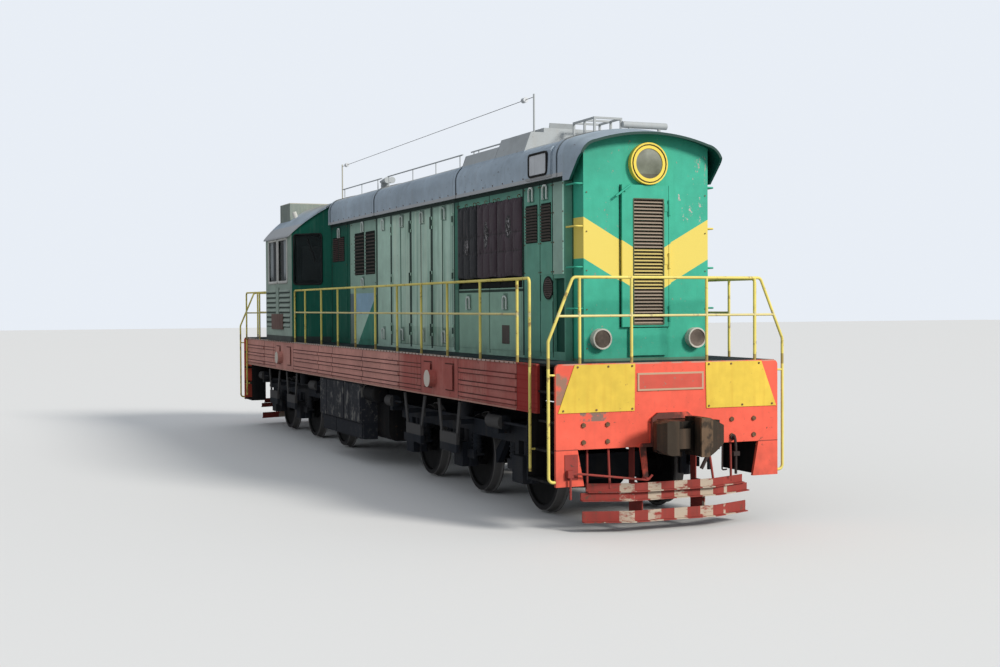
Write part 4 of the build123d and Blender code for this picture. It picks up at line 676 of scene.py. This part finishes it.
def quilt(name, x_range, z_range, side, seed):
    """Makes one hanging cover: a pad with slack in it, held in a group along its edges and seams."""
    left_x, right_x = x_range
    low_z, high_z = z_range
    across, down = 56, 64
    seam_rows, seam_columns = (0, 21, 36, down), (0, 19, 37, across)
    inner_y, rim_y, outer_y = 0.9235, 0.9285, 0.9370
    scallop_depth, hooks = 0.020, 3
    corners = []
    for layer in (0, 1):
        for row in range(down + 1):
            v = row / down
            for column in range(across + 1):
                u = column / across
                scallop = scallop_depth * (1 - abs(math.cos(math.pi * u * hooks))) * v**12
                sway = 0.006 * math.sin(9 * v + seed) * (0.5 - abs(u - 0.5))
                x = left_x + (right_x - left_x) * u + sway
                sag = 0.008 * math.sin(7 * u + seed) * (1 - v)
                z = low_z + (high_z - low_z - scallop) * v + sag
                edge = min(1.0, 9 * min(u, 1 - u), 9 * min(v, 1 - v))
                fold = 0.5 + 0.5 * math.sin(13 * v + 5 * math.sin(4 * u + seed) + seed)
                puff = edge**0.5 * (0.75 + 0.25 * fold)
                y = rim_y + (outer_y - rim_y) * puff if layer else inner_y
                corners.append((x, side * y, z))
    faces = []
    count = (across + 1) * (down + 1)
    for row in range(down):
        for column in range(across):
            a = row * (across + 1) + column
            quad = (a, a + 1, a + across + 2, a + across + 1)
            faces.append(tuple(reversed(quad)) if side < 0 else quad)
            front = tuple(index + count for index in quad)
            faces.append(front if side < 0 else tuple(reversed(front)))
    rim = (list(range(across)) + [row * (across + 1) + across for row in range(down)]
           + [down * (across + 1) + column for column in range(across, 0, -1)]
           + [row * (across + 1) for row in range(down, 0, -1)])
    for a, b in zip(rim, rim[1:] + rim[:1]):
        strip = (a, b, b + count, a + count)
        faces.append(strip if side < 0 else tuple(reversed(strip)))
    mesh = bpy.data.meshes.new(name)
    mesh.from_pydata(corners, [], faces)
    mesh.shade_smooth()
    piece = linked(name, mesh)
    sewn = list(range(count))
    for row in range(down + 1):
        for column in range(across + 1):
            if row in seam_rows or column in seam_columns:
                sewn.append(count + row * (across + 1) + column)
    piece.vertex_groups.new(name="sewn").add(sewn, 1.0, "REPLACE")
    return piece


def inflate(pieces, furthest):
    """Fills the pads by a short cloth simulation with slack cloth, and keeps the settled shapes."""
    last_frame = 20
    for piece in pieces:
        cloth = piece.modifiers.new("cloth", "CLOTH")
        cloth.settings.quality = 5
        cloth.settings.mass = 0.4
        cloth.settings.use_pressure = True
        cloth.settings.uniform_pressure_force = 4.0
        cloth.settings.effector_weights.gravity = 0.0
        cloth.settings.vertex_group_mass = "sewn"
        cloth.settings.shrink_min = -0.05
        cloth.settings.bending_stiffness = 0.05
        cloth.collision_settings.use_collision = False
        cloth.point_cache.frame_start = 1
        cloth.point_cache.frame_end = last_frame
    for frame_number in range(1, last_frame + 1):
        scene.frame_set(frame_number)
    filled = bpy.context.evaluated_depsgraph_get()
    for piece in pieces:
        settled = bpy.data.meshes.new_from_object(piece.evaluated_get(filled))
        for point, before in zip(settled.vertices, piece.data.vertices):
            move = point.co - before.co
            if move.length > 1e-6:
                reach = furthest * (1 - math.exp(-move.length / furthest))
                point.co = before.co + move.normalized() * reach
        settled.shade_smooth()
        piece.modifiers.clear()
        piece.data = settled
    scene.frame_set(1)


cover_cloth = Finish("cover_cloth", (0.046, 0.026, 0.036), 0.5)
x, z = cover_cloth.x, cover_cloth.z
cover_cloth.vary(2.4, 0.75, 1.3, (2, 2, 0.7))
cover_cloth.coat(x.below(4.43) * 0.9, (0.008, 0.011, 0.014))
rubbed = cover_cloth.noise(5.0, (3, 3, 0.4), 6.0, 0.65).fade(0.55, 0.72)
cover_cloth.coat(rubbed * 0.45, (0.11, 0.075, 0.085))
for seam_z in (3.485, 3.25):
    cover_cloth.coat(z.near(seam_z, 0.008) * 0.5, (0.012, 0.008, 0.010))
torn = cover_cloth.noise(9.0, (1.5, 1, 0.8), 6.0, 0.7)
shreds = cover_cloth.noise(34.0, (1.6, 1, 0.6), 3.0, 0.6)
tears = ((4.07, 3.34, 0.085, 0.13), (4.78, 3.49, 0.080, 0.17), (5.53, 3.55, 0.090, 0.15))
for middle_x, spot_z, half_width, half_height in tears:
    aside = (x - middle_x) / half_width
    above = (z - spot_z) / half_height
    slit = aside * aside + above * above + (torn - 0.5) * 3.2
    cover_cloth.coat(slit.below(1.0) * 0.92, (0.006, 0.005, 0.006))
    cover_cloth.coat(slit.below(0.75) * shreds.above(0.56) * 0.8, (0.40, 0.37, 0.38))
cover_cloth.gloss = 0.5 + cover_cloth.noise(12.0) * 0.25
cover_finish = cover_cloth.done(0.55, 34.0, 0.4)
cover_cloth.shader.inputs["Sheen Weight"].default_value = 0.15
cover_spans = ((3.705, 4.423), (4.437, 5.123), (5.137, 5.935))
covers = []
for side_name, side in sides:
    for number, span in enumerate(cover_spans, start=1):
        cover = quilt(f"{side_name}_cover_{number}", span, (2.925, 3.915), side, number * 1.7 + side)
        cover.data.materials.append(cover_finish)
        covers.append(cover)
inflate(covers, 0.013)
for cover in covers:
    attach(cover, "locomotive")
    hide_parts("winter_covers")


def hook_shape(add, given):
    bend = add("GeometryNodeCurveArc", {"mode": "RADIUS"}, {
        "Resolution": 10, "Radius": given["Reach"], "Start Angle": 0.0, "Sweep Angle": 4.2})
    return round_wire(add, bend, given["Wire"], 6)


hook_pattern = pattern("hook_pattern", {"Reach": 0.020, "Wire": 0.005}, hook_shape)
hook_places = [(span[0] + (span[1] - span[0]) * part, side * 0.938, 3.925) for side in (-1, 1)
               for span in cover_spans for part in (0.08, 0.5, 0.92)]
lay("cover_hooks", hook_pattern, hook_places, bolt_finish, "dark_steel", Turn=(quarter, 0, quarter))


# Hood roof: curved sheet panels joined by bands, grey with soot and a painted cream light along the top,
# with the fan housing, the exhaust, thin handrails and the visor, whose underside is green.
roof_grey = Finish("roof_grey", (0.37, 0.445, 0.515), 0.5)
x, z = roof_grey.x, roof_grey.z
weather(roof_grey, 0.30, (0.30, 0.31, 0.32), 0.25, (0.12, 0.10, 0.09))
# Painted light: the top of the roof, and the cab roof's ridge, are painted a warmer cream where light falls
# on them.
roof_grey.coat(z.above(4.50) * 0.5, (0.44, 0.42, 0.37))
lit_cab_ridge = x.below(-3.0) * z.fade(4.30, 4.50)
roof_grey.coat(lit_cab_ridge * 0.75, (0.42, 0.40, 0.31))
roof_grey.coat(roof_grey.noise(1.4).fade(0.55, 0.8) * 0.4, (0.10, 0.105, 0.11))
for band_x in (-2.81, -0.14, 3.65, 6.96):
    for edge in (-0.054, 0.054):
        roof_grey.coat(abs(x - band_x - edge).below(0.010) * 0.75, (0.035, 0.04, 0.045))
drip = z.below(4.105) * abs(roof_grey.y).above(0.93)
roof_grey.coat(drip * 0.8, (0.44, 0.44, 0.44))
roof_finish = roof_grey.done(0.35, 45.0, 1.2)
dress(roof_finish, "hood_roof", "fan_housing", "roof_fittings")

visor_paint = Finish("visor_paint", (0.33, 0.40, 0.46), 0.5)
weather(visor_paint, 0.3, (0.28, 0.29, 0.30), 0.2)
facing = visor_paint.place.node("ShaderNodeNewGeometry", output="Normal")
sideways, upwards = (facing.node("ShaderNodeSeparateXYZ", {}, {0: facing}, axis) for axis in ("Y", "Z"))
right_inner = visor_paint.y.below(-0.5) * sideways.above(0.2)
left_inner = visor_paint.y.above(0.5) * sideways.below(-0.2)
underside = upwards.below(-0.05).larger(right_inner.larger(left_inner))
visor_paint.coat(underside, (0.006, 0.07, 0.055))
front_lip = visor_paint.x.above(7.612)
visor_paint.coat(front_lip, (0.03, 0.07, 0.06))
dress(visor_paint.done(0.3, 50.0), "roof_visor")
roof_bolts = [(bolt_x, side * 0.9535, 4.12) for side in (-1, 1)
              for bolt_x in (-2.55 + 0.33 * step for step in range(29))]
lay("roof_bolts", bolt_pattern, roof_bolts, bolt_finish, "roof_paint",
    Turn=(quarter, 0, 0), Radius=0.009, Height=0.007)


# Number boards: lit boxes on the roof's shoulders, each with a plain milk-white pane held in a
# black rubber gasket that stands a little proud of the curved sheet.
def frame_shape(add, given):
    outline, section = (
        add("GeometryNodeCurvePrimitiveQuadrilateral", {}, {"Width": given[width], "Height": given[height]})
        for width, height in (("Width", "Height"), ("Face", "Depth")))
    rounded = add("GeometryNodeFilletCurve", {"mode": "POLY"}, {
        "Curve": outline.outputs[0], "Count": 6, "Radius": given["Corner"]})
    return add("GeometryNodeCurveToMesh", {}, {
        "Curve": rounded.outputs[0], "Profile Curve": section.outputs[0]}).outputs[0]


frame_sizes = {"Width": 0.6, "Height": 0.4, "Corner": 0.05, "Face": 0.02, "Depth": 0.02}
frame_pattern = pattern("frame_pattern", frame_sizes, frame_shape)
gasket_black = Finish("gasket_black", (0.018, 0.018, 0.018), 0.6)
gasket_black.vary(30.0, 0.7, 1.5)
gasket_finish = gasket_black.done(0.3, 90.0)
board_white = Finish("board_white", (0.60, 0.62, 0.64), 0.35)
weather(board_white, 0.4, (0.30, 0.30, 0.30))
board_finish = board_white.done(0.15, 50.0)
board_middle = 6.52
for side_name, side in sides:
    wall_plate(f"{side_name}_number_board", side, board_middle, width=0.49, z_range=(4.13, 4.37),
               wall_y=0.972, thickness=0.008, material=board_finish, bevel=0.02)
    lay(f"{side_name}_board_gasket", frame_pattern, [(board_middle, side * 0.977, 4.25)], gasket_finish,
        "dark_steel", Width=0.52, Height=0.27, Corner=0.05, Face=0.022, Depth=0.024, Turn=(quarter, 0, 0))


# Aerial: a taut bare wire of hard-drawn metal between the two roof masts, hooked at each end to a
# pale insulator of three discs.
wire_ends = (Vector((5.59, -0.6, 5.222)), Vector((-3.15, -0.6, 5.182)))
wire_line = bpy.data.curves.new("aerial_wire", "CURVE")
wire_line.dimensions = "3D"
wire_line.bevel_depth = 0.004
wire_line.bevel_resolution = 2
run = wire_line.splines.new("POLY")
run.points.add(1)
for point, end in zip(run.points, wire_ends):
    point.co = (*end, 1)
aerial_wire = linked("aerial_wire", settled_mesh(linked("aerial_wire_curve", wire_line)))
aerial_wire.data.materials.clear()
aerial_wire.data.materials.append(gasket_finish)
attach(aerial_wire, "locomotive")
insulators = [tuple(end.lerp(other, 0.03 + 0.004 * disc)) for end, other in (wire_ends, wire_ends[::-1])
              for disc in range(3)]
lay("aerial_insulators", bolt_pattern, insulators, board_finish, "roof_paint",
    Sides=12, Radius=0.035, Height=0.022, Turn=(0, quarter, 0))


# Nose: welded sheet steel in bright green with a yellow chevron, and a hinged door with a slatted
# grille. The slats are bare pinkish metal where the paint has gone, and yellow inside the chevron.
nose_green = Finish("nose_green", (0.045, 0.385, 0.26), 0.42)
x, y, z = nose_green.x, nose_green.y, nose_green.z
weather(nose_green, 0.22, (0.025, 0.28, 0.175), 0.18, (0.30, 0.24, 0.20), (1.88, 2.05, 0.35))
scuffed = y.between(0.42, 0.76) * z.between(3.52, 3.86)
side_flakes = nose_green.noise(13.0, detail=8.0, roughness=0.7).fade(0.57, 0.62)
nose_green.coat(scuffed * side_flakes, (0.52, 0.42, 0.40))
top_scuff = y.between(0.60, 0.80) * z.between(3.95, 4.35)
top_flakes = nose_green.noise(17.0, (1, 1, 0.4), 8.0, 0.7).fade(0.58, 0.63)
nose_green.coat(top_scuff * top_flakes, (0.50, 0.34, 0.32))
grille_half, chevron_slope = 0.19, 0.55
from_grille = (abs(y) - grille_half).larger(0.0)
chevron = (z - from_grille * chevron_slope).between(2.74, 3.215)
nose_green.coat(chevron * x.above(7.16), (0.76, 0.61, 0.13))
on_door = abs(y).below(grille_half + 0.001) * x.between(7.462, 7.51)
grille_area = on_door * z.between(2.325, 3.785)
nose_green.coat(grille_area * (1 - chevron) * 0.94, (0.36, 0.27, 0.21))
nose_green.coat(grille_area * chevron * 0.6, (0.50, 0.40, 0.20))
slat_pitch, lowest_slat = 1.45 / 36, 2.33
slat_shade_wave = ((z - lowest_slat) * (2 * math.pi / slat_pitch)).sine()
# Painted shade: the lower part of each slat pitch is painted dark, as shade between the slats.
nose_green.coat(grille_area * slat_shade_wave.below(-0.1) * 0.9, (0.035, 0.022, 0.018))
# Painted shadow: a dark strip beside one edge of the proud nose door.
door_shadow_strip = abs(y + 0.352).below(0.012) * x.below(7.462)
nose_green.coat(door_shadow_strip * z.between(2.29, 3.95), (0.006, 0.02, 0.014))
# Painted shade: the nose's sides, behind its front face, are painted darker.
nose_green.coat(x.below(7.20) * 0.9, (0.012, 0.09, 0.06))
nose_green.coat(z.below(1.93) * 0.6, (0.12, 0.10, 0.07))
dress(nose_green.done(0.3, 45.0, 1.5), "nose_panels", "nose_door")
grille_rim = Finish("grille_rim", (0.10, 0.13, 0.08), 0.5)
weather(grille_rim, 0.4, (0.30, 0.20, 0.15))
lay("grille_rim", frame_pattern, [(7.5025, 0.0, 3.055)], grille_rim.done(0.2, 60.0), "green_paint",
    "nose_door", Width=0.40, Height=1.47, Corner=0.01, Face=0.011, Depth=0.012, Turn=(quarter, 0, quarter))
nose_bolts = [(7.464, side * 0.79, bolt_z) for side in (-1, 1) for bolt_z in (2.05, 2.5, 2.95, 3.4, 3.85)]
lay("nose_bolts", bolt_pattern, nose_bolts, bolt_finish, "green_paint",
    Turn=(0, quarter, 0), Radius=0.008, Height=0.006)


# Cab: pressed sheet walls, ribbed and faded on the sides, with fresh dark green on the slanted
# front corners. Windows sit in rubber, the sliding ones in pale frames, and the glass is tinted.
cab_green = Finish("cab_green", fresh_green, 0.45)
x, out, z = cab_green.x, abs(cab_green.y), cab_green.z
cab_green.coat(out.above(1.478) * 0.94, (0.32, 0.40, 0.335))
cab_green.coat(x.below(-5.585) * 0.5, (0.07, 0.22, 0.15))
weather(cab_green, 0.15, (0.22, 0.28, 0.23), 0.2, (0.20, 0.16, 0.13), (1.88, 2.05, 0.6))
cab_green.coat(z.below(2.0) * 0.85, (0.03, 0.033, 0.034))
cab_middle, rib_pitch = -4.60, 0.095
rib_shade = (0.02, 0.035, 0.03)
cab_side = out.above(1.492) * x.between(-5.56, -3.64)
from_pilaster = abs(x - cab_middle)
ribbed = cab_side * from_pilaster.above(0.12) * z.between(2.16, 2.90)
rib_wave = (z * (2 * math.pi / rib_pitch)).sine()
# Painted shade and painted highlights: a dark band and a pale band along each rib.
cab_green.coat(ribbed * rib_wave.below(-0.45) * 0.9, rib_shade)
cab_green.coat(ribbed * rib_wave.above(0.75) * 0.6, (0.42, 0.47, 0.43))
# Painted shade along the edges of the pilaster.
pilaster_edge = from_pilaster.near(0.115, 0.015) * z.between(2.16, 2.93)
cab_green.coat(cab_side * pilaster_edge * 0.85, rib_shade)
inside_cab = out.below(1.449) * x.between(-5.549, -3.7)
cab_green.coat(inside_cab * 0.9, (0.20, 0.22, 0.19))
dress(cab_green.done(0.3, 45.0, 1.3), "cab_walls", "cab_front_door", "cab_rear_door")

interior_grey = Finish("interior_grey", (0.15, 0.16, 0.14), 0.5)
interior_grey.vary(6.0, 0.8, 1.2)
dress(interior_grey.done(0.2, 60.0), "cab_interior")
engine_grey = Finish("engine_grey", (0.09, 0.095, 0.09), 0.45)
weather(engine_grey, 0.6, (0.03, 0.025, 0.02))
dress(engine_grey.done(0.5, 30.0), "engine_block")

cab_glass = Finish("cab_glass", (0.016, 0.022, 0.022), 0.06)
cab_glass.vary(3.0, 0.7, 1.3)
# Painted light: on the side windows the upper glass is painted pale, as sky light in the glass.
for low_x, high_x in ((-5.29, -5.03), (-4.18, -3.88)):
    bright = cab_glass.x.between(low_x, high_x) * abs(cab_glass.y).above(1.44)
    cab_glass.coat(bright * cab_glass.z.fade(3.02, 3.25) * 0.85, (0.42, 0.46, 0.47))
cab_glass.shader.inputs["Alpha"].default_value = 0.78
dress(cab_glass.done(), "cab_windows")

pane_white = Finish("pane_white", (0.56, 0.56, 0.52), 0.45)
weather(pane_white, 0.4, (0.35, 0.33, 0.30))
pane_finish = pane_white.done(0.2, 60.0)
slant_turn = math.atan2(0.580, 0.740)
slant_way = Vector((math.cos(slant_turn), math.sin(slant_turn), 0))
window_height = 3.445
for side_name, side in sides:
    for number, middle_x in enumerate((-4.975, -4.185), start=1):
        lay(f"{side_name}_sliding_frame_{number}", frame_pattern, [(middle_x, side * 1.503, window_height)],
            pane_finish, "roof_paint", Width=0.71, Height=0.83, Corner=0.04, Face=0.055, Depth=0.024,
            Turn=(quarter, 0, 0))
slant_out = Vector((slant_way.y, -slant_way.x, 0))
window_middle = Vector((-3.6, -1.5, window_height)) + slant_way * 0.415 + slant_out * 0.004
rubber_section = {"Corner": 0.06, "Face": 0.028, "Depth": 0.022}
lay("front_corner_gasket", frame_pattern, [tuple(window_middle)], gasket_finish, "dark_steel",
    Width=0.655, Height=0.935, Turn=(quarter, 0, slant_turn), **rubber_section)
rear_gaskets = [(-5.604, side * 0.44, 3.45) for side in (-1, 1)]
lay("rear_window_gaskets", frame_pattern, rear_gaskets, gasket_finish, "dark_steel",
    Width=0.655, Height=0.715, Turn=(quarter, 0, quarter), **rubber_section)


def bar_shape(add, given):
    bar = add("GeometryNodeMeshCube", {}, {"Size": (1.0, 1.0, 1.0)})
    size = add("ShaderNodeCombineXYZ", {}, {0: given["Length"], 1: given["Depth"], 2: given["Rise"]})
    return add("GeometryNodeTransform", {}, {
        "Geometry": bar.outputs["Mesh"], "Scale": size.outputs[0]}).outputs[0]


bar_pattern = pattern("bar_pattern", {"Length": 1.0, "Depth": 0.012, "Rise": 0.05}, bar_shape)
rib_places = [(rib_x, side * 1.506, 2.199 + rib_pitch * row) for side in (-1, 1) for rib_x in (-5.14, -4.06)
              for row in range(8)]
lay("cab_ribs", bar_pattern, rib_places, cab_green.material, "green_paint",
    Length=0.80, Depth=0.016, Rise=0.040)
lay("cab_pilasters", bar_pattern, [(cab_middle, side * 1.508, 2.60) for side in (-1, 1)],
    cab_green.material, "green_paint", Length=0.20, Depth=0.020, Rise=0.66)
plaque_brown = Finish("plaque_brown", (0.20, 0.12, 0.10), 0.5, 0.4)
weather(plaque_brown, 0.5, (0.32, 0.24, 0.2))
lay("cab_plaques", bar_pattern, [(cab_middle, side * 1.518, 2.27) for side in (-1, 1)],
    plaque_brown.done(0.3, 40.0), "red_paint", Length=0.92, Depth=0.012, Rise=0.30)
wiper_middle = window_middle + slant_way * 0.12 + Vector((0.02, -0.03, 0.16))
lay("corner_wiper", bar_pattern, [tuple(wiper_middle)], gasket_finish, "dark_steel",
    Length=0.014, Depth=0.014, Rise=0.46, Turn=(0, -0.42, slant_turn))
dress(roof_finish, "cab_roof")
lay("slope_lamps", bolt_pattern, [(cab_middle, side * 1.14, 4.34) for side in (-1, 1)],
    pane_finish, "roof_paint", Sides=20, Radius=0.045, Height=0.16, Turn=(0.35, 0, 0))
unit_paint = Finish("unit_paint", (0.20, 0.235, 0.21), 0.55)
weather(unit_paint, 0.4, (0.36, 0.36, 0.31), 0.2)
# Painted light: the top of the unit is painted a paler beige where light falls on it.
unit_paint.coat(unit_paint.z.above(4.59) * 0.7, (0.50, 0.46, 0.38))
dress(unit_paint.done(0.3, 50.0), "roof_unit")


# Rear hood: a low sheet-steel box over the batteries and auxiliaries, welded and painted green,
# with three louvred openings in each side wall.
rear_green = Finish("rear_green", (0.10, 0.22, 0.155), 0.5)
weather(rear_green, 0.35, (0.30, 0.38, 0.31), 0.3, (0.18, 0.13, 0.10), (1.88, 2.05, 0.5))
rear_seam = (0.015, 0.03, 0.024)
for seam_x in (-6.85, -6.18):
    rear_green.coat(rear_green.x.near(seam_x, 0.008) * 0.85, rear_seam)
rear_green.coat(rear_green.z.near(2.74, 0.006) * 0.85, rear_seam)
rear_finish = rear_green.done(0.3, 45.0, 1.3)
dress(rear_finish, "rear_hood")
for number, middle_x in enumerate((-7.12, -6.515, -5.89), start=1):
    for side_name, side in sides:
        louvred_opening((f"{side_name}_rear_louvres_{number}", f"{side_name}_rear_opening_{number}"), side,
                        middle_x, low_z=2.12, width=0.36, height=0.45, blades=12, blade_y=0.801,
                        wall_y=0.7905, paint=rear_finish)


# Lamps: spun steel housings. The headlamps have yellow rims, the marker lamps pale bare ones, and
# each lens is pressed glass over a polished reflector.
lamp_paint = Finish("lamp_paint", (0.55, 0.53, 0.47), 0.45)
weather(lamp_paint, 0.4, (0.30, 0.26, 0.22), 0.3)
lamp_paint.coat(lamp_paint.z.above(3.5), (0.86, 0.66, 0.10))
dress(lamp_paint.done(0.2, 60.0), "lamps")
lens_glass = Finish("lens_glass", (0.29, 0.31, 0.24), 0.12, 0.55)
lens_glass.coat(lens_glass.z.below(3.0), (0.30, 0.24, 0.20))
# Painted reflection: the headlamp lenses are painted pale towards the top and brownish at the foot.
lens_glass.coat(lens_glass.z.fade(4.16, 4.34) * 0.6, (0.62, 0.64, 0.55))
headlamp_foot = (lens_glass.z.between(3.9, 4.5) - lens_glass.z.fade(4.02, 4.14)).above(0.5)
lens_glass.coat(headlamp_foot * 0.5, (0.16, 0.13, 0.10))
lens_glass.vary(3.5, 0.45, 1.35)
dress(lens_glass.done(0.35, 30.0), "lamp_lenses")
ring_width = 0.44
for name, ring_x, ring_z in (("front_headlamp_ring", 7.531, 4.20), ("rear_headlamp_ring", -5.673, 4.18)):
    lay(name, frame_pattern, [(ring_x, 0.0, ring_z)], gasket_finish, "dark_steel",
        Width=ring_width, Height=ring_width, Corner=ring_width / 2 - 0.001, Face=0.010, Depth=0.008,
        Turn=(quarter, 0, quarter))


# Railings: bent steel tube welded to the frame, painted yellow, with brown worn patches, a pale
# rubbed band at the middle rail, and rust that creeps up from the posts' feet.
rail_yellow = Finish("rail_yellow", (0.78, 0.66, 0.17), 0.45)
rail_yellow.vary(2.0, 0.82, 1.1)
rail_rust = rail_yellow.noise(7.0, (1, 1, 1), 7.0, 0.7).fade(0.56, 0.64)
rail_yellow.coat(rail_rust * 0.75, (0.24, 0.13, 0.06))
rail_yellow.coat(rail_yellow.z.between(2.42, 2.47) * 0.35, (0.62, 0.57, 0.45))
rail_yellow.coat(rail_yellow.z.between(1.85, 1.97) * 0.6, (0.16, 0.09, 0.05))
dress(rail_yellow.done(0.25, 80.0), "side_railings", "end_railings")
